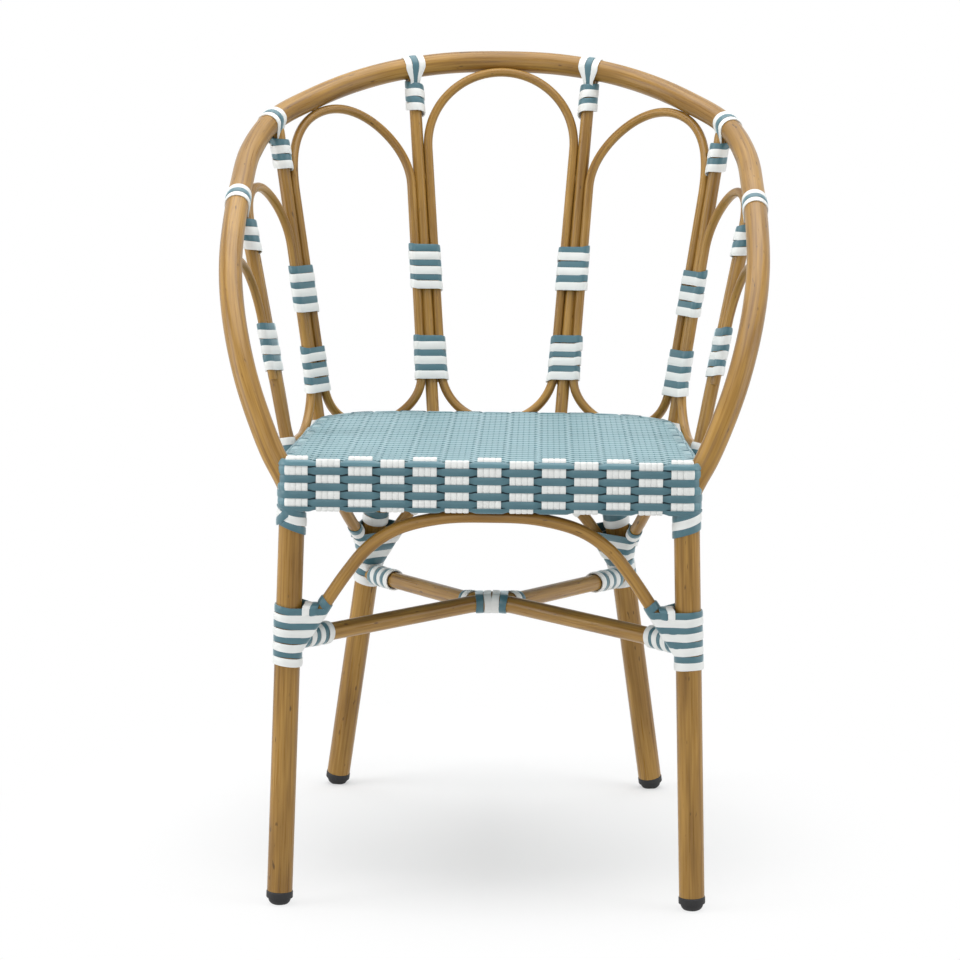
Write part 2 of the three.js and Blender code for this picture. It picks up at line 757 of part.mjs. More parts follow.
// The corner between two tangent lines that lie a distance outside all the circles.
function tangentCorner(circles, angleA, angleB, outside) {
  const reach = (angle) => {
    const far = circles.map((circle) => {
      const lean = circle.leanX * Math.cos(angle) + circle.leanY * Math.sin(angle);
      const middle = circle.x * Math.cos(angle) + circle.y * Math.sin(angle);
      return middle + circle.radius * Math.hypot(1, lean);
    });
    return outside + Math.max(...far);
  };
  const reachA = reach(angleA);
  const reachB = reach(angleB);
  const turn = Math.sin(angleB - angleA);
  return {
    x: (reachA * Math.sin(angleB) - reachB * Math.sin(angleA)) / turn,
    y: (reachB * Math.cos(angleA) - reachA * Math.cos(angleB)) / turn,
  };
}

function winding({ tubes, origin, axis, pitch, turns, cornersPerTurn }) {
  const along = axis.clone().normalize();
  const across = point(1, 0, 0);
  if (Math.abs(along.x) > 0.7) across.set(0, 1, 0);
  across.addScaledVector(along, -across.dot(along)).normalize();
  const over = along.clone().cross(across);
  const width = pitch - strapGap;
  const count = Math.round(turns * cornersPerTurn);
  const places = [];
  for (let i = 0; i <= count; i += 1) {
    const height = (i / cornersPerTurn) * pitch;
    const near = circlesAt(tubes, origin, along, across, over, height);
    const far = circlesAt(tubes, origin, along, across, over, height + width);
    const angleA = (2 * Math.PI * i) / cornersPerTurn;
    const angleB = (2 * Math.PI * (i + 1)) / cornersPerTurn;
    for (const [outside, edge] of [
      [strapClear, 0],
      [strapClear + strap, 0],
      [strapClear + strap, width],
      [strapClear, width],
    ]) {
      const corner = tangentCorner(edge > 0 ? far : near, angleA, angleB, outside);
      const spot = origin.clone().addScaledVector(along, height + edge);
      spot.addScaledVector(across, corner.x).addScaledVector(over, corner.y);
      places.push(spot);
    }
  }
  const triangles = [0, 1, 2, 0, 2, 3];
  for (let i = 0; i < count; i += 1) {
    for (let k = 0; k < 4; k += 1) {
      const a = i * 4 + k;
      const b = i * 4 + ((k + 1) % 4);
      triangles.push(a, a + 4, b + 4, a, b + 4, b);
    }
  }
  const end = count * 4;
  triangles.push(end, end + 2, end + 1, end, end + 3, end + 2);
  for (let i = 0; i + cornersPerTurn <= count; i += 1) {
    const above = places[(i + cornersPerTurn) * 4];
    leastTurnGap = Math.min(leastTurnGap, above.distanceTo(places[i * 4 + 3]));
  }
  const geometry = new THREE.BufferGeometry();
  geometry.setAttribute("position", new THREE.Float32BufferAttribute(places.flatMap((p) => p.toArray()), 3));
  geometry.setIndex(triangles);
  return solidOf(geometry);
}

// Bindings on the posts and the loops beside them
function bundleBinding(post, tubes, middleHeight) {
  const axis = postAt(post, hoopTop).sub(postAt(post, postLevel)).normalize();
  const origin = postAt(post, middleHeight).addScaledVector(axis, (-bundlePitch * (bundleTurns + 1)) / 2);
  return winding({
    tubes,
    origin,
    axis,
    pitch: bundlePitch,
    turns: bundleTurns,
    cornersPerTurn: 6,
  });
}

const centreTubes = [posts.centre, loops.centre, loops.side];
const sideTubes = [posts.side, loops.side, loops.outer];
const outerTubes = [posts.outer, loops.outer, halfArch];
placePair("centre_upper_binding", bundleBinding(centrePost, centreTubes, centreUpperBinding), bluePlastic);
placePair("centre_lower_binding", bundleBinding(centrePost, centreTubes, centreLowerBinding), bluePlastic);
placePair("side_upper_binding", bundleBinding(sidePost, sideTubes, sideUpperBinding), bluePlastic);
placePair("side_lower_binding", bundleBinding(sidePost, sideTubes, sideLowerBinding), bluePlastic);
placePair("outer_binding", bundleBinding(outerPost, outerTubes, outerBinding), bluePlastic);

// Bindings that hang a post on the hoop: a band over the hoop and a wound neck round the post
function hoopBinding(post, tube, turns) {
  const bore = (hoopRadius + 4 * air) / Math.cos(Math.PI / ringSides);
  let exit = postTop(post);
  while (hoopDistance(postAt(post, exit)) < bore) exit -= air;
  const share = nearestSpot(postAt(post, exit)) / (hoopSpots.length - 1);
  const middle = hoopCurve.getPointAt(share);
  const tangent = hoopCurve.getTangentAt(share);
  const half = hoopBandWidth / 2;
  const band = new THREE.LineCurve3(
    middle.clone().addScaledVector(tangent, -half),
    middle.clone().addScaledVector(tangent, half),
  );
  const ring = solidOf(tubeGeometry(band, bore + strap, ringSides, 1, bore));
  const axis = postAt(post, postLevel).sub(postAt(post, hoopTop)).normalize();
  const neck = winding({
    tubes: [tube],
    origin: postAt(post, exit),
    axis,
    pitch: neckPitch,
    turns,
    cornersPerTurn: 6,
  });
  return ring.subtract(tube.seat).add(neck.subtract(hoop.seat));
}

placePair("centre_hoop_binding", hoopBinding(centrePost, posts.centre, centreNeckTurns), whitePlastic);
placePair("side_hoop_binding", hoopBinding(sidePost, posts.side, sideNeckTurns), whitePlastic);
placePair("outer_hoop_binding", hoopBinding(outerPost, posts.outer, outerNeckTurns), whitePlastic);

// Bindings on the legs: wound round the leg and the arch ends, with a collar on the stretcher
function legBinding({ foot, top, tubes, stretcher, topHeight, turns }) {
  const axis = foot.clone().sub(top).normalize();
  const origin = alongLine(foot, top, topHeight);
  const wound = winding({ tubes, origin, axis, pitch: legPitch, turns: turns - 1, cornersPerTurn: 7 });
  const ends = [stretcher.points[0], stretcher.points[stretcher.points.length - 1]];
  const start = ends[0].x > 0 ? ends[0] : ends[1];
  const further = stretcher.points.find((spot) => spot.x > 0 && spot.distanceTo(start) > overrun * 2);
  const inward = (further ?? point(0, start.y, start.z)).clone().sub(start).normalize();
  const along = (distance) => start.clone().addScaledVector(inward, distance);
  const collar = new THREE.LineCurve3(along(legRadius / 3), along(legRadius + collarLength));
  const bore = (stretcherRadius + air) / Math.cos(Math.PI / ringSides) + air;
  const sleeve = solidOf(tubeGeometry(collar, bore + strap, ringSides, 1, bore));
  const arm = new THREE.LineCurve3(along(-overrun), along(overrun * 2));
  const seats = tubes.map((tube) => tube.seat);
  const woundOpen = wound.subtract(solidOf(tubeGeometry(arm, bore, ringSides, 1)));
  return woundOpen.add(without(sleeve, seats));
}

const frontBinding = legBinding({
  foot: frontFoot,
  top: frontCorner,
  tubes: [frontLeg, frontArch, sideArch],
  stretcher: frontStretcher,
  topHeight: legBindingTop,
  turns: legTurns,
});
const rearBinding = legBinding({
  foot: rearFoot,
  top: rearTop,
  tubes: [rearLeg, rearArch, sideArch],
  stretcher: rearStretcher,
  topHeight: rearLegBindingTop,
  turns: rearLegTurns,
});
placePair("front_leg_binding", frontBinding, bluePlastic);
placePair("rear_leg_binding", rearBinding, bluePlastic);

const legTopWinding = winding({
  tubes: [frontLeg],
  origin: alongLine(frontFoot, frontCorner, frontLegTop - legTopBindingBelow),
  axis: frontFoot.clone().sub(frontCorner).normalize(),
  pitch: legTopPitch,
  turns: legTopTurns,
  cornersPerTurn: 8,
});
placePair("front_leg_top_binding", legTopWinding, bluePlastic);

const centreWinding = winding({
  tubes: [frontStretcher, rearStretcher],
  origin: point((-centreBindingPitch * (centreBindingTurns + 1)) / 2, stretcherCrossing, stretcherHeight),
  axis: point(1, 0, 0),
  pitch: centreBindingPitch,
  turns: centreBindingTurns,
  cornersPerTurn: 8,
});
const crossing = [frontStretcher.seat, rearStretcher.seat];
place("centre_binding", without(centreWinding, crossing), bluePlastic);

chair.add(seatGroup);
const box = new THREE.Box3().setFromObject(chair);
chair.position.y = -(box.min.y + box.max.y) / 2;
console.log("least gap between neighbouring strap turns: " + leastTurnGap.toFixed(2) + " mm");

export default chair;
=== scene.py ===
# %% [markdown]
# A bistro armchair is a cage of bent tubes. One thick hoop makes the arms and the top
# of the back, straight posts and thin loops fill it, arches and two crossed stretchers
# stiffen the legs, flat plastic straps bind every meeting point, and the seat is woven
# from the same strap. The measured solids come in as a fixed frame, and everything
# that is seen is modelled anew over them.

# %% Load the frame
import bpy
import math
import numpy as np
from mathutils import Matrix, Vector


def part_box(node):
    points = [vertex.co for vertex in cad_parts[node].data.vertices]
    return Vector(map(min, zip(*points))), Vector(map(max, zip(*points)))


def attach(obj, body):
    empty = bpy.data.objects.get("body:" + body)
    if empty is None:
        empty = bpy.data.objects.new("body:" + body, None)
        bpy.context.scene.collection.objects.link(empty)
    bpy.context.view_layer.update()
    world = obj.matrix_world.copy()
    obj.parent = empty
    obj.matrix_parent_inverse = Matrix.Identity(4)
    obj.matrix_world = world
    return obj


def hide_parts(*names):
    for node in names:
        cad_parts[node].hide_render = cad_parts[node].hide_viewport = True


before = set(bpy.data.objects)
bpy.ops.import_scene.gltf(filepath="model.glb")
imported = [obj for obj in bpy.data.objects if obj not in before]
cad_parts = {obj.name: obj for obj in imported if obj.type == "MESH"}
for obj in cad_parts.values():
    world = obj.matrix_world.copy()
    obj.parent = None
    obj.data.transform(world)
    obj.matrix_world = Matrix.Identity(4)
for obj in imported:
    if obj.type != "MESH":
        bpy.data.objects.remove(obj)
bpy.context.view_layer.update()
MM = 0.001
print("solids in the frame:", len(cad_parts))

# %% [markdown]
# All sizes below are in millimetres, with depth counted from the front feet, because
# that is how a maker would measure the chair. The frame's own origin lies under the
# middle of the chair, so one shift in depth joins the two. It is read from the woven
# seat, whose front face is 13 mm ahead of the feet. The seat leans back a little, so
# its parts are laid out flat first and then turned.

# %% Shared measures
SEAT_FRONT, SEAT_HEIGHT, SEAT_THICK = -13.0, 455.0, 50.0
SEAT_DEPTH, SEAT_FALL = 439.0, 13.0
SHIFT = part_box("woven_seat")[0][1] / MM - SEAT_FRONT
SEAT_TILT = math.atan2(SEAT_FALL, SEAT_DEPTH)
SEAT_TURN = np.array(((1, 0, 0), (0, math.cos(SEAT_TILT), -math.sin(SEAT_TILT)),
                      (0, math.sin(SEAT_TILT), math.cos(SEAT_TILT))))
HALF_TURN, FULL_TURN = math.pi, 2 * math.pi


def place(points):
    """Millimetres from the front feet to metres in the frame."""
    return (np.asarray(points, float).reshape(-1, 3) + (0.0, SHIFT, 0.0)) * MM


def seat_spot(points):
    """From the seat's own leaning frame to millimetres from the front feet."""
    spots = np.asarray(points, float).reshape(-1, 3) @ SEAT_TURN
    return spots + (0.0, SEAT_FRONT, SEAT_HEIGHT - SEAT_THICK)


def unit(vectors):
    """A vector, or rows of them, each made one unit long."""
    size = np.linalg.norm(vectors, axis=-1, keepdims=True)
    return np.asarray(vectors, float) / (size + 1e-12)


def mirror(spots):
    return np.asarray(spots, float) * (-1.0, 1.0, 1.0)


def smooth_step(t):
    t = np.clip(t, 0.0, 1.0)
    return t * t * (3 - 2 * t)


print("depth shift in mm:", round(SHIFT, 2))

# %% [markdown]
# The camera stands where the photographer stood: far back with a long lens, a little
# above the seat, almost straight in front. A long lens keeps the rear legs nearly as
# large as the front ones.

# %% Camera
FOCAL_PIXELS, PICTURE_PIXELS, SENSOR = 3295.0, 960.0, 36.0
EYE = (56.0, -3197.0, 968.0)
TURN, RAISE, ROLL = math.radians(1.17), math.radians(9.47), math.radians(0.52)

back = Vector((math.sin(TURN) * math.cos(RAISE), -math.cos(TURN) * math.cos(RAISE),
               math.sin(RAISE)))
level_right = Vector((math.cos(TURN), math.sin(TURN), 0.0))
level_up = back.cross(level_right)
right = level_right * math.cos(ROLL) + level_up * math.sin(ROLL)
up = level_up * math.cos(ROLL) - level_right * math.sin(ROLL)
bpy.ops.object.camera_add()
camera = bpy.context.object
axes = Matrix((right, up, back)).transposed().to_4x4()
camera.matrix_world = Matrix.Translation(place([EYE])[0]) @ axes
camera.data.sensor_width = SENSOR
camera.data.lens = FOCAL_PIXELS / PICTURE_PIXELS * SENSOR
camera.data.clip_end = 60.0
bpy.context.scene.camera = camera
print("lens in mm:", round(camera.data.lens, 1))

# %% [markdown]
# Every material below is a small graph of shader nodes. These helpers add a node with
# its settings, mix two colours by a mask, spread a mask over a range, and turn a mask
# into a raised surface.

# %% Shader helpers
def paint(red, green, blue):
    """A colour as it looks on a screen, turned into the linear values of a shader."""
    return (*(((c / 255 + 0.055) / 1.055) ** 2.4 for c in (red, green, blue)), 1.0)


def new_node(tree, kind, values=None, **settings):
    """A shader node with its settings and the values of its inputs."""
    node = tree.nodes.new("ShaderNode" + kind)
    for key, value in settings.items():
        setattr(node, key, value)
    for key, value in (values or {}).items():
        node.inputs[key].default_value = value
    return node


def new_material(name, values):
    """A material with the values of its own shader."""
    material = bpy.data.materials.new(name)
    material.use_nodes = True
    shader = material.node_tree.nodes["Principled BSDF"]
    for key, value in values.items():
        shader.inputs[key].default_value = value
    return material, material.node_tree, shader


def mixed(tree, first, second, factor, strength):
    """Mixes two colours by a mask. The first is a fixed value or a node's output."""
    mix = new_node(tree, "Mix", data_type="RGBA")
    weight = new_node(tree, "Math", {1: strength}, operation="MULTIPLY")
    tree.links.new(factor, weight.inputs[0])
    tree.links.new(weight.outputs[0], mix.inputs[0])
    if isinstance(first, tuple):
        mix.inputs[6].default_value = first
    else:
        tree.links.new(first, mix.inputs[6])
    mix.inputs[7].default_value = second
    return mix.outputs[2]


def varied(tree, factor, low, high):
    spread = new_node(tree, "MapRange", {"To Min": low, "To Max": high})
    tree.links.new(factor, spread.inputs["Value"])
    return spread.outputs["Result"]


def bumped(tree, value, distance, strength):
    bump = new_node(tree, "Bump", {"Strength": strength, "Distance": distance})
    tree.links.new(value, bump.inputs["Height"])
    return bump.outputs["Normal"]


def seen_rays(tree):
    """1 for rays that the camera, gloss or glass send out, and 0 for all others."""
    path = new_node(tree, "LightPath")
    mask = path.outputs["Is Camera Ray"]
    for ray in ("Is Glossy Ray", "Is Transmission Ray"):
        either = new_node(tree, "Math", operation="MAXIMUM")
        tree.links.new(mask, either.inputs[0])
        tree.links.new(path.outputs[ray], either.inputs[1])
        mask = either.outputs[0]
    return mask


def blended(tree, mask, first, second, output):
    """Shows the second shader where the mask is 1, and the first one elsewhere."""
    blend = new_node(tree, "MixShader")
    for number, source in enumerate((mask, first.outputs[0], second.outputs[0])):
        tree.links.new(source, blend.inputs[number])
    tree.links.new(blend.outputs[0], tree.nodes[output].inputs["Surface"])


print("shader helpers ready")

# %% [markdown]
# The chair stands in a plain white studio. A big soft light overhead makes the seat
# pale and the fronts of the tubes darker, and weaker ones in front and at both sides
# fill them in. The background is white only for rays that the camera, gloss or glass
# send out, so it doesn't light the chair. The floor fades into the same white away from
# the chair, and keeps the chair's shadow near it.

# %% Light, background and floor
scene = bpy.context.scene
scene.view_settings.view_transform = "Standard"
LIT_SPOT = (0.0, 0.0, 0.4)
LAMPS = {"overhead": ((0.0, 0.1, 2.5), (2.6, 2.4), 56.0),
         "front_fill": ((-0.6, -3.2, 1.5), (2.2, 1.8), 20.0),
         "left_fill": ((-2.4, -0.6, 1.2), (1.6, 2.0), 31.0),
         "right_fill": ((2.4, -0.6, 1.2), (1.6, 2.0), 20.0)}
for name, (spot, size, watts) in LAMPS.items():
    bpy.ops.object.light_add(type="AREA", location=spot)
    light = bpy.context.object
    light.name = name
    aim = Vector(LIT_SPOT) - Vector(spot)
    light.rotation_euler = aim.to_track_quat("-Z", "Y").to_euler()
    light.data.shape = "RECTANGLE"
    light.data.size, light.data.size_y = size
    light.data.energy = watts

world = bpy.data.worlds.new("studio")
scene.world = world
world.use_nodes = True
sky = world.node_tree
ambient = sky.nodes["Background"]
ambient.inputs["Color"].default_value = (0.93, 0.97, 1.0, 1.0)
ambient.inputs["Strength"].default_value = 0.28
seen = new_node(sky, "Background", {"Color": (1.0, 1.0, 1.0, 1.0)})
blended(sky, seen_rays(sky), ambient, seen, "World Output")

FLOOR_DEPTH, SHADE_DEPTH = 2.0, 0.05
bpy.ops.mesh.primitive_plane_add(size=14.0, location=(0.0, FLOOR_DEPTH, 0.0))
floor = bpy.context.object
floor.name = "floor"
floor_paint, tree, floor_shader = new_material(
    "floor_paint", {"Base Color": (0.94, 0.94, 0.94, 1.0), "Roughness": 0.9,
                    "Specular IOR Level": 0.1})
where = new_node(tree, "TexCoord")
from_chair = new_node(tree, "Mapping",
                      {"Location": (0.0, FLOOR_DEPTH - SHADE_DEPTH, 0.0)})
far = new_node(tree, "VectorMath", operation="LENGTH")
fade = new_node(tree, "MapRange", {"From Min": 0.16, "From Max": 0.56, "To Min": 0.42},
                interpolation_type="SMOOTHSTEP")
shown = new_node(tree, "Math", operation="MULTIPLY")
tree.links.new(where.outputs["Object"], from_chair.inputs["Vector"])
tree.links.new(from_chair.outputs["Vector"], far.inputs[0])
tree.links.new(far.outputs["Value"], fade.inputs["Value"])
tree.links.new(seen_rays(tree), shown.inputs[0])
tree.links.new(fade.outputs["Result"], shown.inputs[1])
blended(tree, shown.outputs[0], floor_shader, new_node(tree, "Emission"),
        "Material Output")
floor.data.materials.append(floor_paint)

# %% [markdown]
# Every tube on such a chair is an aluminium tube with a painted cane finish. It shows
# long fine fibres along the tube, wide patches where the brown is deeper, and now and
# then a short dark fleck like a knot. The straps have very fine lines from the tool
# that drew them. Such patterns have to follow each bent piece, so every piece carries
# its own place on the tube or strap with it, as an attribute called "strand": distance
# along, and the two ways across.

# %% Shared pattern groups
def strand_noise(group, strand, stretch, detail, low, high):
    """Noise that is stretched along the strand, as a mask between two levels."""
    mapping = new_node(group, "Mapping", {"Scale": stretch})
    noise = new_node(group, "TexNoise", {"Scale": 1.0, "Detail": detail})
    levels = new_node(group, "MapRange", {"From Min": low, "From Max": high})
    group.links.new(strand.outputs["Vector"], mapping.inputs["Vector"])
    group.links.new(mapping.outputs["Vector"], noise.inputs["Vector"])
    group.links.new(noise.outputs["Fac"], levels.inputs["Value"])
    return levels.outputs["Result"]


def pattern_group(name, masks, raised, sunken=None):
    """A group with an output for each mask, and one for the height of the surface."""
    group = bpy.data.node_groups.new(name, "ShaderNodeTree")
    for label in (*masks, "Height"):
        group.interface.new_socket(label, in_out="OUTPUT",
                                   socket_type="NodeSocketFloat")
    out = group.nodes.new("NodeGroupOutput")
    strand = new_node(group, "Attribute", attribute_name="strand")
    found = {label: strand_noise(group, strand, *mask) for label, mask in masks.items()}
    height = new_node(group, "Math", {1: 0.0}, operation="SUBTRACT")
    group.links.new(found[raised], height.inputs[0])
    if sunken:
        group.links.new(found[sunken], height.inputs[1])
    for label, value in (*found.items(), ("Height", height.outputs[0])):
        group.links.new(value, out.inputs[label])
    return group


cane_pattern = pattern_group(
    "cane_pattern", {"Fibre": ((16.0, 520.0, 520.0), 3.0, 0.34, 0.66),
                     "Streak": ((7.0, 230.0, 230.0), 2.0, 0.5, 0.68),
                     "Patch": ((9.0, 38.0, 38.0), 2.0, 0.38, 0.66),
                     "Fleck": ((70.0, 300.0, 300.0), 1.0, 0.71, 0.78)},
    "Fibre", "Fleck")
strap_pattern = pattern_group(
    "strap_pattern", {"Lines": ((14.0, 1500.0, 600.0), 2.0, 0.3, 0.7),
                      "Shade": ((30.0, 90.0, 90.0), 2.0, 0.3, 0.7)}, "Lines")
print("pattern groups:", cane_pattern.name, strap_pattern.name)

# %% [markdown]
# The cane finish is a warm golden brown with a satin varnish. Three browns are mixed by
# the masks, and the fibres also change the gloss a little and raise the surface by a
# few hundredths of a millimetre. The frame inside the seat is hidden and has a plainer,
# duller coat of the same paint.

# %% Cane finish
def patterned_material(name, pattern, colour, layers, gloss_mask, rough, relief,
                       values):
    """Colours laid over each other by a pattern's masks, with its gloss and relief."""
    material, tree, shader = new_material(name, values)
    grain = new_node(tree, "Group")
    grain.node_tree = pattern
    for over, mask, strength in layers:
        colour = mixed(tree, colour, over, grain.outputs[mask], strength)
    gloss = varied(tree, grain.outputs[gloss_mask], *rough)
    normal = bumped(tree, grain.outputs["Height"], *relief)
    tree.links.new(colour, shader.inputs["Base Color"])
    tree.links.new(gloss, shader.inputs["Roughness"])
    tree.links.new(normal, shader.inputs["Normal"])
    return material


def cane_material(name, light, middle, dark, roughness):
    layers = ((light, "Fibre", 0.75), (dark, "Patch", 0.45), (dark, "Streak", 0.55),
              (paint(62, 41, 20), "Fleck", 0.7))
    return patterned_material(
        name, cane_pattern, middle, layers, "Fibre",
        (roughness - 0.05, roughness + 0.07), (0.00012, 0.5),
        {"Specular IOR Level": 0.32, "Coat Weight": 0.12, "Coat Roughness": 0.2})


cane = cane_material("cane_finish", paint(181, 140, 70), paint(153, 113, 47),
                     paint(100, 66, 20), 0.32)
hidden_cane = cane_material("frame_paint", paint(150, 118, 74), paint(132, 102, 62),
                            paint(108, 80, 44), 0.5)
print("cane finishes:", cane.name, hidden_cane.name)

# %% [markdown]
# The straps are flat plastic with a faint change of shade and a soft sheen. The top of
# the seat and its rounded edge get lighter blues for the light that falls on them: two
# lit copies of the blue, palest on the top. The white plastic has less sheen.

# %% Strap plastics
def strap_material(name, light, dark, roughness, coat, sheen):
    return patterned_material(
        name, strap_pattern, light, ((dark, "Shade", 0.8), (dark, "Lines", 0.35)),
        "Lines", (roughness - 0.05, roughness + 0.06), (0.00006, 0.4),
        {"Specular IOR Level": 0.5, "Coat Weight": coat, "Coat Roughness": 0.22,
         "Sheen Weight": sheen, "Sheen Roughness": 0.35,
         "Sheen Tint": (0.8, 0.96, 1.0, 1.0)})


blue = strap_material("blue_strap", paint(74, 114, 124), paint(58, 98, 109),
                      0.38, 0.08, 1.0)
# Painted light: two lighter copies of the blue, one for the top of the seat and one for
# its edge and folds.
painted_light_top_blue = strap_material("seat_top_strap_painted_light", paint(107, 150, 159), paint(91, 134, 144),
                           0.4, 0.05, 1.0)
painted_light_edge_blue = strap_material("seat_edge_strap_painted_light", paint(91, 132, 142), paint(75, 116, 127),
                           0.38, 0.06, 1.0)
white = strap_material("white_strap", paint(234, 235, 232), paint(220, 221, 218),
                       0.45, 0.1, 0.1)
print("strap plastics: 4")

# %% [markdown]
# The foot caps are black rubber-like plastic: dull and faintly mottled. The dark sheet
# behind the weave is painted shade, as dark as the shade inside a real seat.

# %% Cap plastic and painted shade sheet
def mottled_material(name, values, scale, detail, dark, light, strength, relief):
    """A dull material, mottled by a noise in the piece's own coordinates."""
    material, tree, shader = new_material(name, values)
    where = new_node(tree, "TexCoord")
    speckle = new_node(tree, "TexNoise", {"Scale": scale, "Detail": detail})
    tree.links.new(where.outputs["Object"], speckle.inputs["Vector"])
    mask = speckle.outputs["Fac"]
    colour = mixed(tree, dark, light, mask, strength)
    tree.links.new(colour, shader.inputs["Base Color"])
    tree.links.new(bumped(tree, mask, *relief), shader.inputs["Normal"])
    return material, mask


rubber, speckle_mask = mottled_material(
    "cap_plastic", {}, 900.0, 4.0, paint(17, 17, 18), paint(38, 38, 40), 0.7,
    (0.0001, 0.5))
rubber_gloss = varied(rubber.node_tree, speckle_mask, 0.45, 0.75)
rubber.node_tree.links.new(
    rubber_gloss, rubber.node_tree.nodes["Principled BSDF"].inputs["Roughness"])
# Painted shade: a dark mottled colour for a sheet that stands in for the shade inside
# the seat.
shade, _ = mottled_material(
    "weave_shade", {"Roughness": 0.8}, 320.0, 2.0, paint(18, 30, 35), paint(38, 56, 64),
    1.0, (0.0005, 0.8))
print("materials:", len(bpy.data.materials))

# %% [markdown]
# All the tubes are drawn from their middle lines. The hoop is one smooth line through
# spots that were measured as shares of its width, depth and height. A line of this kind
# passes through each spot and never overshoots, like a bent tube.

# %% Middle lines: helpers and the hoop
def run_along(spots):
    """The distance of each spot from the first one, along the line."""
    return np.r_[0.0, np.cumsum(np.linalg.norm(np.diff(spots, axis=0), axis=1))]


def evenly(spots, step, closed=False):
    """The same line, cut into even steps of about the given length."""
    spots = np.asarray(spots, float)
    if closed:
        spots = np.vstack([spots, spots[:1]])
    run = run_along(spots)
    at = np.linspace(0.0, run[-1], max(2, int(round(run[-1] / step)) + 1))
    line = np.stack([np.interp(at, run, spots[:, k]) for k in range(3)], 1)
    return line[:-1] if closed else line


def smooth_line(knots, step):
    """A centripetal Catmull-Rom line through the knots, in even steps."""
    knots = np.asarray(knots, float)
    knots = np.vstack([2 * knots[0] - knots[1], knots, 2 * knots[-1] - knots[-2]])
    found = []
    for p0, p1, p2, p3 in zip(knots[:-3], knots[1:-2], knots[2:-1], knots[3:]):
        d0, d1, d2 = (max(np.linalg.norm(b - a), 1e-6) ** 0.5
                      for a, b in ((p0, p1), (p1, p2), (p2, p3)))
        m1 = ((p1 - p0) / d0 - (p2 - p0) / (d0 + d1) + (p2 - p1) / d1) * d1
        m2 = ((p2 - p1) / d1 - (p3 - p1) / (d1 + d2) + (p3 - p2) / d2) * d1
        t = np.linspace(0.0, 1.0, 25)[:-1, None]
        found.append((2 * t**3 - 3 * t**2 + 1) * p1 + (t**3 - 2 * t**2 + t) * m1
                     + (3 * t**2 - 2 * t**3) * p2 + (t**3 - t**2) * m2)
    return evenly(np.vstack(found + [knots[-2][None]]), step)


def arc(x, y, radius, start, end, count=24):
    a = np.linspace(start, end, count)
    return np.stack([x + radius * np.cos(a), y + radius * np.sin(a)], 1)


BEND_STEP, STRAIGHT_STEP = 6.0, 20.0
HOOP = (270.0, 572.0, 821.0)
HOOP_SHARES = [
    (0.716, 0.006, 0.509), (0.752, 0.012, 0.532), (0.793, 0.02, 0.556),
    (0.841, 0.037, 0.591), (0.896, 0.068, 0.637), (0.941, 0.113, 0.685),
    (0.975, 0.178, 0.731), (0.994, 0.252, 0.771), (1.0, 0.355, 0.814),
    (0.996, 0.474, 0.855), (0.982, 0.594, 0.892), (0.915, 0.724, 0.927),
    (0.776, 0.836, 0.952), (0.622, 0.913, 0.972), (0.452, 0.96, 0.987),
    (0.23, 0.991, 0.9975)]
half_hoop = np.array(HOOP_SHARES) * HOOP
hoop_top = [(0.0, HOOP[1], HOOP[2])]
hoop_line = smooth_line(np.vstack([half_hoop, hoop_top, mirror(half_hoop)[::-1]]),
                        BEND_STEP)
print("hoop, length in mm:", round(BEND_STEP * (len(hoop_line) - 1)))

# %% [markdown]
# The legs are straight, and each is given by the middles of its foot and of its top.
# The rear ones end under the rear corners of the seat's frame, which are round. The
# posts are straight too and lean out and back. Each one is given by where it stands at
# the level of the seat, by how far it leans for each millimetre of height, and by its
# top.

# %% Middle lines: legs and posts
RIM_X, RIM_Y, RIM_RADIUS, RIM_INSET = 99.0, 341.0, 86.4, 11.6
SIDE_TURN = math.radians(2.37)
CAP_TOP, REAR_TOP_OUT = 14.3, 25.0
rear_leg_top = seat_spot([(RIM_X + REAR_TOP_OUT,
                           RIM_Y + math.sqrt(RIM_RADIUS**2 - REAR_TOP_OUT**2), 0.0)])
LEGS = {"front": np.array([(207.5, 0.0, 0.0), (194.0, 3.5, 421.0)]),
        "rear": np.array([(180.5, 480.0, 0.0), *rear_leg_top])}


def on_leg(leg, z):
    """Where a leg's middle line passes a height."""
    foot, top = LEGS[leg]
    return foot + (top - foot) * (z - foot[2]) / (top[2] - foot[2])


def down_leg(leg):
    return unit(LEGS[leg][0] - LEGS[leg][1])


def leg_line(leg, beyond=0.0):
    """A leg's middle line from its cap to its top, or that much higher."""
    foot, top = LEGS[leg]
    return evenly([foot - down_leg(leg) * CAP_TOP, on_leg(leg, top[2] + beyond)],
                  STRAIGHT_STEP)


POST_LEVEL, POST_FOOT = 439.0, 407.0
POSTS = {"centre": ((71.5, 440.0), (0.078, 0.322), 812.0),
         "side": ((195.0, 376.0), (0.15, 0.11), 757.0),
         "outer": ((215.0, 200.0), (0.203, 0.165), 687.0)}


def post_at(post, z):
    (x, t), (out, behind), _ = POSTS[post]
    return np.array([x + out * (z - POST_LEVEL), t + behind * (z - POST_LEVEL), z])


def post_line(post):
    return evenly([post_at(post, POST_FOOT), post_at(post, POSTS[post][2] - 4.0)],
                  STRAIGHT_STEP)


print("rear leg top:", LEGS["rear"][1].round(1))

# %% [markdown]
# A thin loop is a belt round two circles. It is drawn flat between its two posts and
# then laid into the fan that they make, so that its sides run along the posts. The
# loops beside the middle one also bow outward, because the posts stand round the corner
# of the seat.

# %% Middle lines: thin loops and half arches
HOOP_TUBE, LEG_TUBE, POST_TUBE, LOOP_TUBE, HALF_ARCH_TUBE = 12.0, 13.0, 7.0, 5.0, 4.5
STRETCHER_TUBE, ARCH_TUBE, FRAME_TUBE = 9.0, 6.5, 8.0
BESIDE_POST = POST_TUBE + LOOP_TUBE - 0.2
LOOP_BEND, LOOP_STEP = 60.0, 5.0


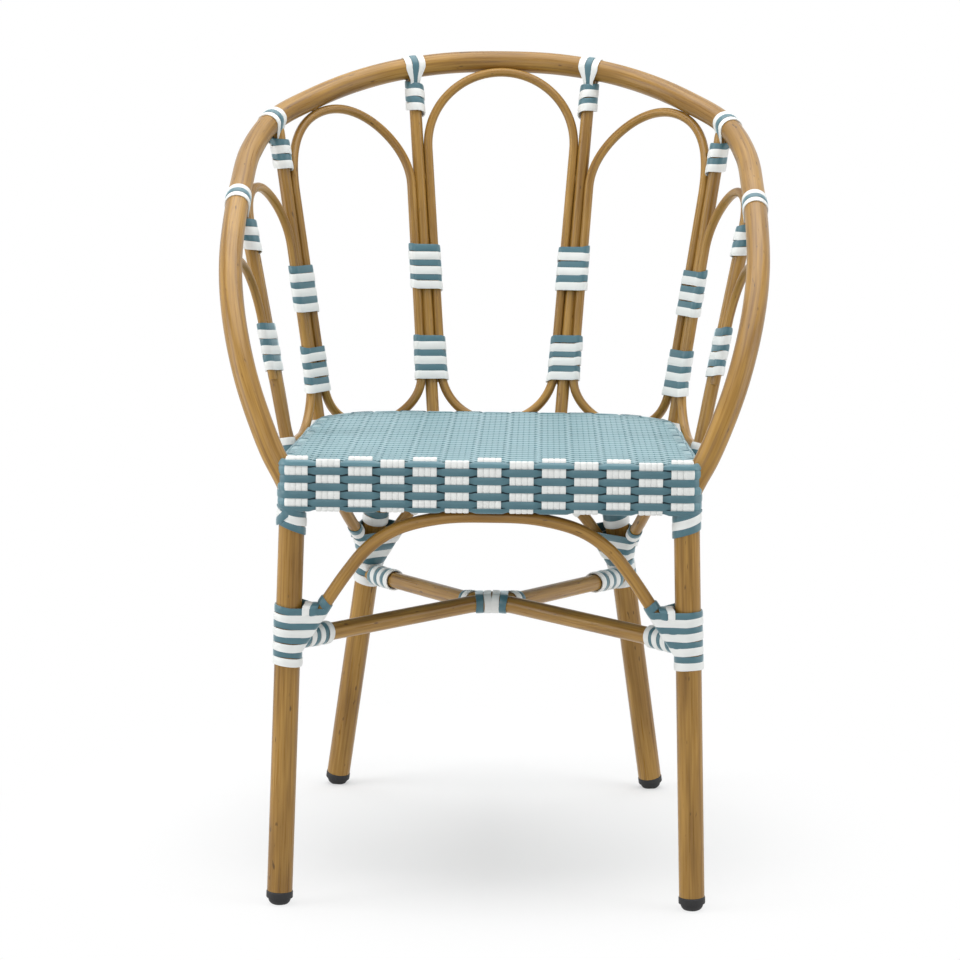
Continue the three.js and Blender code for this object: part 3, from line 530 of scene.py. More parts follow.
def loop_line(post_a, post_b, mirrored, bow, low_height, top_height):
    def ends(z):
        a = post_at(post_a, z)
        return (mirror(a) if mirrored else a), post_at(post_b, z)

    def half(z):
        a, b = ends(z)
        return np.linalg.norm(b - a) / 2

    low_middle, high_middle = (sum(ends(z)) / 2 for z in (POST_LEVEL, HOOP[2]))
    fan = np.linalg.norm(high_middle - low_middle)
    stretch = fan / (HOOP[2] - POST_LEVEL)
    widening = (half(HOOP[2]) - half(POST_LEVEL)) / fan
    width = half(POST_LEVEL) - BESIDE_POST
    lean = math.atan(widening)

    def radius(level):
        return (width + widening * level) * math.cos(lean)

    low, top = ((z - POST_LEVEL) * stretch for z in (low_height, top_height))
    high = (top - radius(0.0)) / (1 + widening * math.cos(lean))
    bend = min(radius(low), LOOP_BEND)
    bend_x = (radius(low) - bend) / math.cos(lean)
    flat = np.vstack([
        [(0.0, low - bend)], arc(bend_x, low, bend, -HALF_TURN / 2, -lean),
        arc(0.0, high, radius(high), -lean, HALF_TURN + lean, 60),
        arc(-bend_x, low, bend, HALF_TURN + lean, 1.5 * HALF_TURN)])
    flat = evenly(np.c_[flat, np.zeros(len(flat))], LOOP_STEP, closed=True)
    spots = []
    for x, y, _ in flat:
        z = POST_LEVEL + y / stretch
        a, b = ends(z)
        across = unit(b - a)
        share = x / (width + widening * y)
        outward = np.array([-across[1], across[0], 0.0])
        spot = (a + b) / 2 + outward * bow * max(0.0, 1 - abs(share) ** 3)
        spots.append(spot + across * share * (half(z) - BESIDE_POST))
    return np.array(spots)


def loop_top(node):
    """The height of a loop's highest middle line, read from its solid."""
    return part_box(node)[1][2] / MM - 4.7


LOOPS = {"centre": loop_line("centre", "centre", True, 0.0, 486.0,
                             loop_top("centre_back_loop")),
         "side": loop_line("centre", "side", False, 21.0, 484.0,
                           loop_top("side_back_loop_right")),
         "outer": loop_line("side", "outer", False, 8.0, 487.0,
                            loop_top("outer_back_loop_right"))}
HALF_ARCH_BEND, HALF_ARCH_TURN = 72.0, 0.12
half_flat = np.vstack([[(BESIDE_POST, 505.0)],
                       arc(BESIDE_POST + HALF_ARCH_BEND, 562.0, HALF_ARCH_BEND,
                           HALF_TURN, HALF_TURN / 2), [(88.0, 634.0)]])
half_flat = evenly(np.c_[half_flat, np.zeros(len(half_flat))], LOOP_STEP)
half_arch = np.array([
    post_at("outer", y) + (HALF_ARCH_TURN * x,
                           -x * math.sqrt(1 - HALF_ARCH_TURN**2), 0.0)
    for x, y, _ in half_flat])
print("loop tops:", {name: round(line[:, 2].max(), 1) for name, line in LOOPS.items()})

# %% [markdown]
# Two stretchers, each bent once in the middle, meet under the seat. Four arches rise
# from the legs to the underside of the seat. Each arch is given by shares of the way
# along, of the rise, and of the way out.

# %% Middle lines: stretchers and arches
CROSSING = np.array((0.0, 205.0, 271.0))
CROSSING_BEND, CROSSING_GAP = 34.0, 9.15
ARCH_FOOT, UNDER_SEAT = 252.0, -6.8


def stretcher_line(leg, height, towards):
    end = on_leg(leg, height)
    middle = CROSSING[1] + towards * (CROSSING_GAP + CROSSING_BEND)
    away = (end[1] - middle) * towards
    angle = (math.acos(CROSSING_BEND / math.hypot(end[0], away))
             - math.atan2(away, end[0]))
    flat = np.vstack([[(end[0], -away)],
                      arc(0.0, 0.0, CROSSING_BEND, angle, HALF_TURN - angle),
                      [(-end[0], -away)]])
    z = CROSSING[2] + np.abs(flat[:, 0]) / end[0] * (height - CROSSING[2])
    spots = np.stack([flat[:, 0], middle - towards * flat[:, 1], z], 1)
    return evenly(spots, BEND_STEP)


def arch_line(end_a, end_b, top, shares):
    rise = top - (end_a + end_b) / 2
    whole = [(0, 0, 0), *shares, (0.5, 1.0, 1.0)]
    whole += [(1 - a, u, o) for a, u, o in whole[-2::-1]]
    return smooth_line([end_a + (end_b - end_a) * a + rise * (o, o, u)
                        for a, u, o in whole], BEND_STEP)


side_x = (RIM_X + RIM_RADIUS / math.cos(SIDE_TURN)
          + (RIM_Y - SEAT_DEPTH / 2) * math.tan(SIDE_TURN))
front_spring, rear_spring = (on_leg(leg, ARCH_FOOT) for leg in LEGS)
front_top, rear_top, side_top = seat_spot([
    (0.0, 16.5, UNDER_SEAT), (0.0, SEAT_DEPTH - RIM_INSET, UNDER_SEAT),
    (side_x, SEAT_DEPTH / 2, UNDER_SEAT)])
front_arch = arch_line(mirror(front_spring), front_spring, front_top, [
    (0.095, 0.39, 0.39), (0.15, 0.61, 0.61), (0.2, 0.775, 0.775), (0.27, 0.905, 0.905),
    (0.38, 0.985, 0.985)])
rear_arch = arch_line(mirror(rear_spring), rear_spring, rear_top, [
    (0.075, 0.27, 0.27), (0.14, 0.49, 0.49), (0.19, 0.62, 0.62), (0.25, 0.76, 0.76),
    (0.36, 0.93, 0.93)])
side_arch = arch_line(front_spring, rear_spring, side_top, [
    (0.074, 0.315, 0), (0.17, 0.585, 0.4), (0.25, 0.8, 0.75), (0.36, 0.95, 0.95)])
front_stretcher = stretcher_line("front", CROSSING[2], -1)
rear_stretcher = stretcher_line("rear", 255.0, 1)
print("arch tops:", [round(arch[:, 2].max(), 1)
                     for arch in (front_arch, rear_arch, side_arch)])

# %% [markdown]
# A tube is a curve with a round bevel, which is how a tube is bent from a straight one.
# It is then turned into a mesh of its own. Each corner of the mesh is given its place
# on the tube: how far along it lies, and how far to either side of the middle line,
# measured with axes that are carried along the line without twisting.

# %% Tube helper
def carried_axes(line, closed):
    """Directions along a line, and two across it that don't twist on the way."""
    ahead = np.roll(line, -1, 0) - np.roll(line, 1, 0)
    if not closed:
        ahead[0], ahead[-1] = line[1] - line[0], line[-1] - line[-2]
    ahead = unit(ahead)
    helper = (0.3, 0.2, 1.0) if abs(ahead[0][2]) < 0.9 else (1.0, 0.2, 0.1)
    across = [unit(np.cross(ahead[0], helper))]
    for direction in ahead[1:]:
        across.append(unit(across[-1] - direction * np.dot(across[-1], direction)))
    across = np.array(across)
    return ahead, across, np.cross(ahead, across)


def mesh_corners(piece, spots):
    """The corners of a mesh, and for each the number of the nearest spot."""
    corners = np.array([v.co for v in piece.data.vertices])
    return corners, np.array([np.argmin(((spots - c) ** 2).sum(1)) for c in corners])


def write_strand(piece, values):
    layer = piece.data.attributes.new("strand", "FLOAT_VECTOR", "POINT")
    layer.data.foreach_set("vector", np.asarray(values, np.float32).ravel())


pieces_made = 0


def tube(name, line, radius, node, closed=False, sides=16, material=None, plug=0.0):
    """A round tube along a line given in millimetres. It replaces the CAD solid of the
    node. A plug rounds the open ends, over the given share of the radius."""
    global pieces_made
    line = np.asarray(line, float)
    swell = np.ones(len(line))
    if plug:
        steps, sizes = np.array([0.0, 0.12, 0.4]) * plug * radius, (0.45, 0.78, 0.95)
        first, last = unit(line[1] - line[0]), unit(line[-2] - line[-1])
        line = np.vstack([
            line[0] + np.outer(steps, first), line[:1] + first * plug * radius,
            line[1:-1], line[-1:] + last * plug * radius,
            line[-1] + np.outer(steps[::-1], last)])
        swell = np.r_[sizes, np.ones(len(line) - 6), sizes[::-1]]
    spots = place(line)
    bpy.ops.object.select_all(action="DESELECT")
    bpy.ops.curve.primitive_nurbs_path_add(location=(0.0, 0.0, 0.0))
    piece = bpy.context.object
    piece.name = name
    piece.data.splines.clear()
    spline = piece.data.splines.new("POLY")
    spline.points.add(len(spots) - 1)
    spline.points.foreach_set("co", np.c_[spots, np.ones(len(spots))].ravel())
    spline.points.foreach_set("radius", swell)
    spline.use_cyclic_u = closed
    piece.data.bevel_depth = radius * MM
    piece.data.bevel_resolution = sides // 2 - 2
    piece.data.use_fill_caps = not closed
    bpy.ops.object.convert(target="MESH")
    piece = bpy.context.object
    corners, nearest = mesh_corners(piece, spots)
    offset = corners - spots[nearest]
    parts = [(offset * axis[nearest]).sum(1) for axis in carried_axes(spots, closed)]
    parts[0] += run_along(spots)[nearest] + 0.71 * pieces_made
    write_strand(piece, np.stack(parts, 1))
    piece.data.materials.append(material or cane)
    bpy.ops.object.shade_smooth_by_angle(angle=math.radians(50))
    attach(piece, "root")
    if node:
        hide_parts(node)
    pieces_made += 1
    return piece


def tube_pair(name, line, radius, node, closed=False, plug=0.0):
    tube(name + "_right", line, radius, node + "_right", closed, plug=plug)
    tube(name + "_left", mirror(line), radius, node + "_left", closed, plug=plug)


print("tube helper ready")

# %% [markdown]
# Now every tube is drawn. The seat's own frame is drawn too, though the weave hides it,
# since a view from below can find it.

# %% Draw the tubes
tube("hoop_tube", hoop_line, HOOP_TUBE, "back_hoop", sides=24, plug=0.45)
tube_pair("front_leg_tube", leg_line("front", 2.0), LEG_TUBE, "front_leg")
tube_pair("rear_leg_tube", leg_line("rear", -0.3), LEG_TUBE, "rear_leg")
for post in POSTS:
    tube_pair(post + "_post_tube", post_line(post), POST_TUBE, post + "_post", plug=0.6)
tube("centre_loop_tube", LOOPS["centre"], LOOP_TUBE, "centre_back_loop", closed=True)
for name in ("side", "outer"):
    tube_pair(name + "_loop_tube", LOOPS[name], LOOP_TUBE, name + "_back_loop",
              closed=True)
tube_pair("half_arch_tube", half_arch, HALF_ARCH_TUBE, "front_half_arch")
for name, line, radius in (("front_stretcher", front_stretcher, STRETCHER_TUBE),
                           ("rear_stretcher", rear_stretcher, STRETCHER_TUBE),
                           ("front_arch", front_arch, ARCH_TUBE),
                           ("rear_arch", rear_arch, ARCH_TUBE)):
    tube(name + "_tube", line, radius, name)
tube_pair("side_arch_tube", side_arch, ARCH_TUBE, "side_arch")


def frame_tube(name, node, spots, step):
    """A tube of the seat's hidden frame, given in the seat's own frame."""
    tube(name, evenly(seat_spot(spots), step), FRAME_TUBE, node, sides=12,
         material=hidden_cane)


RIM_FRONT, RIM_LEVELS, RAIL_REACH = 30.0, {"upper": 38.4, "lower": 8.0}, 178.0
rim_arc = arc(RIM_X, RIM_Y, RIM_RADIUS, SIDE_TURN, HALF_TURN / 2)
to_front = np.array([math.tan(SIDE_TURN), -1.0]) * (rim_arc[0][1] - RIM_FRONT)
rim_half = np.vstack([rim_arc[:1] + to_front, rim_arc])
rim_flat = np.vstack([rim_half, rim_half[::-1] * (-1.0, 1.0)])
for name, level in RIM_LEVELS.items():
    frame_tube(name + "_rim_tube", "seat_" + name + "_rim",
               np.c_[rim_flat, np.full(len(rim_flat), level)], 8.0)
    frame_tube(name + "_rail_tube", "seat_" + name + "_front_rail",
               [(-RAIL_REACH, RIM_INSET, level), (RAIL_REACH, RIM_INSET, level)],
               STRAIGHT_STEP)
for name, depth, reach in (("front", 150.0, 185.0), ("rear", 300.0, 179.0)):
    level = RIM_LEVELS["upper"]
    frame_tube(name + "_bar_tube", "seat_" + name + "_cross_bar",
               [(-reach, depth, level), (reach, depth, level)], STRAIGHT_STEP)
print("tubes drawn:", pieces_made)

# %% [markdown]
# The seat is woven like a basket. Bundles of four narrow straps run from front to back
# and fold down over the edge, and single straps cross them: rows on the top, belts
# round the sides. Each strap goes over one bundle and under the next. To lay a strap on
# the seat, the seat's outline is needed as a line with its outward direction, and the
# rounded edge as a line across it.

# %% Seat outline and edge
FRONT_CORNER, REAR_CORNER = (194.0, 16.5, 16.5), (RIM_X, RIM_Y, RIM_RADIUS + RIM_INSET)
TOP_BEND, LOW_BEND, HANG = 6.5, 5.0, 3.0
VERTICAL_AT = TOP_BEND * HALF_TURN / 2
LOW_AT = VERTICAL_AT + SEAT_THICK + HANG - TOP_BEND - LOW_BEND


def seat_outline():
    """Spots on the outline and the directions out of it, round from the front's middle,
    and the distance of each."""
    parts = [np.array([(0.0, 0.0, 0.0, -1.0), (FRONT_CORNER[0], 0.0, 0.0, -1.0)])]
    for (x, y, radius), start, end in ((FRONT_CORNER, -HALF_TURN / 2, SIDE_TURN),
                                       (REAR_CORNER, SIDE_TURN, HALF_TURN / 2)):
        out = arc(0.0, 0.0, 1.0, start, end, 90)
        parts.append(np.c_[out * radius + (x, y), out])
    half = np.vstack(parts)
    whole = np.vstack([half, half[::-1] * (-1.0, 1.0, -1.0, 1.0)])
    run = run_along(whole[:, :2])
    keep = np.r_[True, np.diff(run) > 1e-6]
    return run[keep], whole[keep]


outline_run, outline_spots = seat_outline()
ROUND = outline_run[-1]


def around(p):
    """Spots and outward directions at distances round the outline."""
    p = np.mod(np.asarray(p, float), ROUND)
    found = np.stack([np.interp(p, outline_run, row) for row in outline_spots.T], 1)
    return found[:, :2], unit(found[:, 2:])


def over_edge(s):
    """How far in, how high, and which way the surface faces, at a distance over the
    seat's edge."""
    s = np.asarray(s, float)
    top = np.clip(s / TOP_BEND, 0.0, HALF_TURN / 2)
    low = np.clip((s - LOW_AT) / LOW_BEND, 0.0, HALF_TURN / 2)
    inset = (TOP_BEND * (1 - np.sin(top)) - np.minimum(s, 0.0)
             + LOW_BEND * (1 - np.cos(low)))
    height = (SEAT_THICK - TOP_BEND * (1 - np.cos(top))
              - np.clip(s - VERTICAL_AT, 0.0, LOW_AT - VERTICAL_AT)
              - LOW_BEND * np.sin(low))
    return inset, height, np.sin(top) * np.cos(low), np.cos(top) - np.sin(low)


def on_skin(p, s, lift):
    """Spots and facings on the seat's skin, raised by a lift, in the frame's metres."""
    p, s = np.broadcast_arrays(np.asarray(p, float), np.asarray(s, float))
    flat, out = around(p)
    inset, height, face_out, face_up = over_edge(s)
    face = unit(np.c_[out * face_out[:, None], face_up])
    spots = np.c_[flat - out * inset[:, None], height]
    return place(seat_spot(spots + face * np.reshape(lift, (-1, 1)))), face @ SEAT_TURN


DIRECTIONS = np.linspace(-HALF_TURN, HALF_TURN, 721)[:-1]
CIRCLES = np.array([(sign * x, y, r) for x, y, r in (FRONT_CORNER, REAR_CORNER)
                    for sign in (1, -1)])
REACH = (CIRCLES[:, :1] * np.cos(DIRECTIONS) + CIRCLES[:, 1:2] * np.sin(DIRECTIONS)
         + CIRCLES[:, 2:]).max(0)


def inside(x, y):
    """How far inside the outline a spot lies."""
    x, y = np.broadcast_arrays(np.asarray(x, float), np.asarray(y, float))
    return (REACH - x[:, None] * np.cos(DIRECTIONS) - y[:, None] * np.sin(DIRECTIONS)
            ).min(1)


print("round the seat in mm:", round(ROUND, 1))

# %% [markdown]
# A strap is a thin ribbon with rounded shoulders. It starts as a flat grid, its corners
# are laid along the route, and a solidify modifier gives the thickness. Straps of one
# colour and one use are joined into one piece before that, since they are one stretch
# of weaving.

# %% Ribbon helper
SHOULDERS = {4: ((-1.0, -0.62, 0.62, 1.0), (-1.0, 0.0, 0.0, -1.0)),
             5: ((-1.0, -0.7, 0.0, 0.7, 1.0), (-1.0, -0.28, 0.0, -0.28, -1.0))}
SEAT_STRAP, TOP_STRAP, BINDING_STRAP = 1.2, 1.1, 1.3


def new_grid(columns, rows):
    bpy.ops.object.select_all(action="DESELECT")
    bpy.ops.mesh.primitive_grid_add(x_subdivisions=columns - 1, y_subdivisions=rows - 1)
    return bpy.context.object


def set_corners(piece, spots):
    piece.data.vertices.foreach_set("co", np.vstack(spots).ravel())


def close_seams(threshold):
    """Joins the corners of the active piece that lie on each other, facing outward."""
    bpy.ops.object.mode_set(mode="EDIT")
    bpy.ops.mesh.select_all(action="SELECT")
    bpy.ops.mesh.remove_doubles(threshold=threshold)
    bpy.ops.mesh.normals_make_consistent(inside=False)
    bpy.ops.object.mode_set(mode="OBJECT")


def ribbon(spots, faces, width, dome, rows, closed=False, phase=0.0):
    """A grid laid as a ribbon along spots in the frame's metres, facing a given way."""
    count = len(spots)
    piece = new_grid(count, rows)
    ahead = np.gradient(spots, axis=0)
    if closed:
        ahead[0] = ahead[-1] = spots[1] - spots[-2]
    across = unit(np.cross(faces, unit(ahead)))
    half = np.broadcast_to(np.asarray(width, float) / 2 * MM, (count,))[:, None]
    run = run_along(spots) + phase
    sheets, marks = [], []
    for share, drop in zip(*SHOULDERS[rows]):
        depth = drop * dome * MM
        sheets.append(spots + across * half * share + faces * depth)
        marks.append(np.stack([run, half[:, 0] * share, np.full(count, depth)], 1))
    set_corners(piece, sheets)
    write_strand(piece, np.vstack(marks))
    return piece


def joined(name, ribbons, thickness, material, node=None):
    """Joins ribbons into one piece and gives them their thickness."""
    bpy.ops.object.select_all(action="DESELECT")
    for one in ribbons:
        one.select_set(True)
    bpy.context.view_layer.objects.active = ribbons[0]
    if len(ribbons) > 1:
        bpy.ops.object.join()
    piece = bpy.context.object
    piece.name = name
    solid = piece.modifiers.new("thickness", "SOLIDIFY")
    solid.thickness = thickness * MM
    solid.offset = -1.0
    bpy.ops.object.modifier_apply(modifier=solid.name)
    bpy.ops.object.shade_smooth_by_angle(angle=math.radians(60))
    piece.data.materials.append(material)
    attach(piece, "root")
    if node:
        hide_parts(node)
    return piece


print("ribbon helper ready")

# %% [markdown]
# The bundles stand every 31.7 mm: thirteen on the front, a pair of blue straps round
# each front corner, and thirty-seven on the sides and back, a little closer. The belts
# lie at these distances over the edge. A belt with an odd number goes over the odd
# bundles.

# %% Bundles and belts
PITCH, BUNDLE, STRAND = 31.7, 23.6, 5.9
BELTS = (-3.6, 5.9, 15.3, 23.5, 31.2, 39.1, 47.1, 54.8)
BENT_BELTS = (1, 7)
CORNER_AT, FIRST_BESIDE, BESIDE_COUNT = 208.4, 221.5, 37
front_bundles = [(PITCH * (i - 7), i % 2) for i in range(1, 14)]
corner_bundles = [(CORNER_AT, 1), (ROUND - CORNER_AT, 1)]
other_pitch = (ROUND - 2 * FIRST_BESIDE) / BESIDE_COUNT
other_bundles = [(FIRST_BESIDE + other_pitch * (k + 0.5), k % 2)
                 for k in range(BESIDE_COUNT)]
every_bundle = sorted((p % ROUND, odd)
                      for p, odd in front_bundles + corner_bundles + other_bundles)
bundle_at = np.array([p for p, _ in every_bundle])
bundle_odd = np.array([odd for _, odd in every_bundle])


def belt_wave(p, belt):
    """+1 where a belt lies over a bundle, -1 where it lies under one."""
    p = np.mod(p, ROUND)
    at = np.r_[bundle_at[-1] - ROUND, bundle_at, bundle_at[0] + ROUND]
    odd = np.r_[bundle_odd[-1], bundle_odd, bundle_odd[0]]
    over = np.where(odd == belt % 2, 1.0, -1.0)
    k = np.clip(np.searchsorted(at, p) - 1, 0, len(at) - 2)
    gap = at[k + 1] - at[k]
    edge = np.maximum(0.5 - BUNDLE / 2 / gap, 0.06)
    turn = smooth_step(((p - at[k]) / gap - 0.5 + edge) / (2 * edge))
    return over[k] * (1 - turn) + over[k + 1] * turn


def bundle_wave(s, odd):
    """+1 where a bundle lies over a belt, -1 where it lies under one."""
    belts = np.array((BELTS[0] - 15.4, BELTS[0] - 7.7) + BELTS)
    over = np.where((np.arange(len(belts)) % 2) != odd, 1.0, -1.0)
    k = np.clip(np.searchsorted(belts, s) - 1, 0, len(belts) - 2)
    turn = smooth_step((s - belts[k]) / (belts[k + 1] - belts[k]) * 1.6 - 0.3)
    return over[k] * (1 - turn) + over[k + 1] * turn


print("bundles round the seat:", len(every_bundle))

# %% [markdown]
# The belts are wider where they lie on top, because there they aren't squeezed. Two of
# them are bent over an edge: the one below the top edge, which is painted a lighter
# blue for the light on the edge, and the last one. The white bundles fold over the edge
# and run down to the underside. Each strap dips at its start, where it tucks in under a
# belt.

# %% Belts and bundles on the apron
SKIN, APRON_WAVE, APRON_END = -1.55, 0.85, 58.5
FOLD_STEP, TUCK = 7.65 / 6, 3.0
FOLD_START, LATE_START = -12.4, -4.6
beside_bundle = np.array((-15.6, -13.7, -12.2, -10.6, -5.0, 5.0, 10.6, 12.2, 13.7))
stations = np.sort(np.mod(bundle_at[:, None] + beside_bundle, ROUND).ravel())
stations = np.r_[stations, stations[0] + ROUND]
belts = []
for number, s in enumerate(BELTS):
    wave = belt_wave(stations, number)
    spots, faces = on_skin(stations, s, SKIN + APRON_WAVE * wave)
    narrow = 4.8 if number == len(BELTS) - 1 else 5.6
    width = narrow + 1.9 * smooth_step((wave + 1) / 2)
    dome = 1.2 if number in BENT_BELTS else 0.45
    belts.append(ribbon(spots, faces, width, dome, 5, closed=True, phase=0.4 * number))
joined("weave_belts", belts[2:], SEAT_STRAP, blue, "woven_seat")
# The belt below the top edge takes the blue painted lighter for the light on the edge.
joined("weave_edge_belt", belts[1:2], SEAT_STRAP, painted_light_edge_blue)


def fold(p, odd, start, end=APRON_END, width=STRAND, bulge=0.0):
    """One strap of a bundle, from a distance over the edge to another."""
    s = np.arange(start, end, FOLD_STEP)
    lift = SKIN + APRON_WAVE * bundle_wave(s, odd)
    lift = lift + bulge * smooth_step(1.3 - np.abs(s - (0.8 - 2.4 * odd)) / 5.5)
    lift = lift - 1.2 * smooth_step((start + TUCK - s) / TUCK)
    spots, faces = on_skin(p, s, lift)
    return ribbon(spots, faces, width - 0.12, 0.5, 4, phase=0.13 * p)


whites, blues = [], []
for p, odd in front_bundles:
    start, bulge = (FOLD_START, 3.3) if odd else (LATE_START, 1.7)
    for k in range(4):
        whites.append(fold(p + (k - 1.5) * STRAND, odd, start, bulge=bulge))
for p, odd in other_bundles:
    for k in range(4):
        strap_p = p + (k - 1.5) * STRAND
        whites.append(fold(strap_p, odd, 5.1 if odd else 14.6))
        blues.append(fold(strap_p, odd, FOLD_START if odd else LATE_START,
                          6.8 if odd else 16.4))
for p, odd in corner_bundles:
    for k in (-0.5, 0.5):
        blues.append(fold(p + k * 6.0, odd, -3.0, width=6.0))
joined("weave_white_bundles", whites, SEAT_STRAP, white)
# The blue folds on the sides, back and corners take the blue painted lighter for the
# light on the edge.
joined("weave_blue_folds", blues, SEAT_STRAP, painted_light_edge_blue)
print("straps on the apron:", len(BELTS) + len(whites) + len(blues))

# %% [markdown]
# The top is all blue, painted paler for the light that falls on it from above. Its rows
# are 7.7 mm apart, as wide as the belts, and cross the same bundles. Near the edge the
# top bends down, so each strap follows the height that belongs to its distance from the
# outline, and its end dips under the belt that runs round the edge. That belt belongs
# to the rows.

# %% Rows and bundles on the top
ROW_COUNT = 55
EDGE_ROW = TOP_BEND - BELTS[0]
ROW_PITCH = (SEAT_DEPTH - 2 * EDGE_ROW) / ROW_COUNT
TOP_WAVE = 0.45


def on_top(x, y, lift, tuck):
    """Spots and facings on the seat's top. Ends near the outline dip by the tuck."""
    x, y = np.broadcast_arrays(np.asarray(x, float), np.asarray(y, float))
    depth = inside(x, y)
    near = np.clip(TOP_BEND - depth, 0.0, TOP_BEND)
    height = SEAT_THICK - TOP_BEND + np.sqrt(TOP_BEND**2 - near**2)
    dip = tuck * smooth_step((EDGE_ROW + 2.0 - depth) / 3.0)
    spots = place(seat_spot(np.stack([x, y, height + lift - dip], 1)))
    return spots, np.tile(np.array((0.0, 0.0, 1.0)) @ SEAT_TURN, (len(x), 1))


def pitch_at(y):
    """The bundles draw a little closer together toward the back."""
    return PITCH + (other_pitch - PITCH) * y / SEAT_DEPTH


def row_wave(x, row):
    share = np.asarray(x) / pitch_at(EDGE_ROW + ROW_PITCH * row) + 7
    k = np.floor(share).astype(int)
    over = np.where((k + row) % 2 == 0, 1.0, -1.0)
    turn = smooth_step((share - k - 0.373) / 0.254)
    return over * (1 - turn) - over * turn


rows = belts[:1]
offsets = np.array((-0.5, -0.44, -0.385, -0.29, 0.0, 0.29, 0.385, 0.44))
row_shares = np.sort((np.arange(-7, 8)[:, None] + offsets).ravel())
inward = np.arange(230.0, 60.0, -1.0)
for row in range(1, ROW_COUNT):
    y = EDGE_ROW + ROW_PITCH * row
    row_stations = row_shares * pitch_at(y)
    wide = np.interp(EDGE_ROW - 1.3, inside(inward, y), inward)
    x = np.r_[-wide, -wide + 2.5, row_stations[np.abs(row_stations) < wide - 4.0],
              wide - 2.5, wide]
    spots, faces = on_top(x, y, SKIN + TOP_WAVE * row_wave(x, row), 1.0)
    rows.append(ribbon(spots, faces, ROW_PITCH - 0.2, 0.4, 4, phase=0.37 * row))
# The rows and lengths of the top take the blue painted paler for the light from above.
joined("weave_top_rows", rows, TOP_STRAP, painted_light_top_blue)

lengths = []
reach = np.arange(300.0, 438.0, 0.5)
for i in range(1, 14):
    for k in range(4):
        beside = (k - 1.5) * STRAND
        start = EDGE_ROW + (ROW_PITCH if i % 2 else 0.0) - 0.7
        far = np.interp(1.0 - EDGE_ROW, -inside(PITCH * (i - 7) + beside, reach), reach)
        y = np.r_[np.arange(start, far, ROW_PITCH / 4), far]
        wave = -np.cos(HALF_TURN * ((y - EDGE_ROW) / ROW_PITCH + i + 1))
        spots, faces = on_top((i - 7) * pitch_at(y) + beside, y, SKIN + TOP_WAVE * wave,
                              0.9)
        lengths.append(ribbon(spots, faces, STRAND - 0.25, 0.4, 4,
                              phase=0.29 * i + 0.07 * k))
joined("weave_top_lengths", lengths, TOP_STRAP, painted_light_top_blue)
print("rows and lengths on the top:", len(rows), len(lengths))

# %% [markdown]
# Behind the straps of the apron lies a dark sheet of painted shade. The real seat has
# none: there the frame and the shade inside make the small gaps look almost black, and
# this sheet paints that shade in. The top needs none: it is one layer of straps, and
# from below they show the other side of the same weave.

# %% Painted shade sheet
# Painted shade: a dark sheet behind the apron's straps, where the real seat has only
# shade.
SHADE_SHEET_LEVELS, SHADE_SHEET_LIFT = (59.0, 55.0, 50.0, 32.0, 10.2, 6.8, 3.4, 0.0, -3.0), -3.2
ring_at = np.linspace(0.0, ROUND, 161)
shade_sheet = new_grid(len(ring_at), len(SHADE_SHEET_LEVELS))
set_corners(shade_sheet, [on_skin(ring_at, s, SHADE_SHEET_LIFT)[0] for s in SHADE_SHEET_LEVELS])
close_seams(0.00005)
shade_sheet = joined("weave_painted_shade_sheet", [shade_sheet], 0.6, shade)
print("lining faces:", len(shade_sheet.data.polygons))

# %% [markdown]
# The bindings are flat straps wound tight round whatever tubes pass through them. A
# tight strap lies on the outer side of the tubes and runs straight between them. That
# shape is found by asking, for each direction round the bundle, how far its outermost
# tube reaches. The white strap lies over the edges of the blue one beside it.

# %% Winding helper
OVERLAP, WINDING_STEPS, SEAM_SHARE = 0.09, 44, 0.34
WHITE_OVER, WHITE_WIDER, WOBBLE = 0.4, 0.8, 0.09
FARTHEST_TUBE = 60.0


def ovals_at(tubes, origin, axes, height):
    """Where tubes cross a plane square to the binding's axis: middles, radii, leans."""
    across, over, along = axes
    found = []
    for line, radius in tubes:
        rel = line - origin
        level = rel @ along - height
        crossed = []
        for i in np.nonzero(level[:-1] * level[1:] <= 0)[0]:
            if level[i] == level[i + 1]:
                continue
            run = rel[i + 1] - rel[i]
            spot = rel[i] + run * level[i] / (level[i] - level[i + 1])
            crossed.append((spot @ across, spot @ over, radius,
                            (run @ across) / (run @ along),
                            (run @ over) / (run @ along)))
        nearest = min(crossed, key=lambda oval: math.hypot(*oval[:2]), default=None)
        if nearest and math.hypot(*nearest[:2]) < FARTHEST_TUBE:
            found.append(nearest)
    return np.array(found)


def hull_spot(ovals, angle, clear):
    """The spot of a tight strap that faces an angle."""
    x, y, radius, lean_x, lean_y = ovals.T

    def reach(a):
        c, s = math.cos(a), math.sin(a)
        size = radius * np.hypot(1, lean_x * c + lean_y * s)
        return (x * c + y * s + size).max() + clear

    far, change = reach(angle), (reach(angle + 0.02) - reach(angle - 0.02)) / 0.04
    return (far * math.cos(angle) - change * math.sin(angle),
            far * math.sin(angle) + change * math.cos(angle))


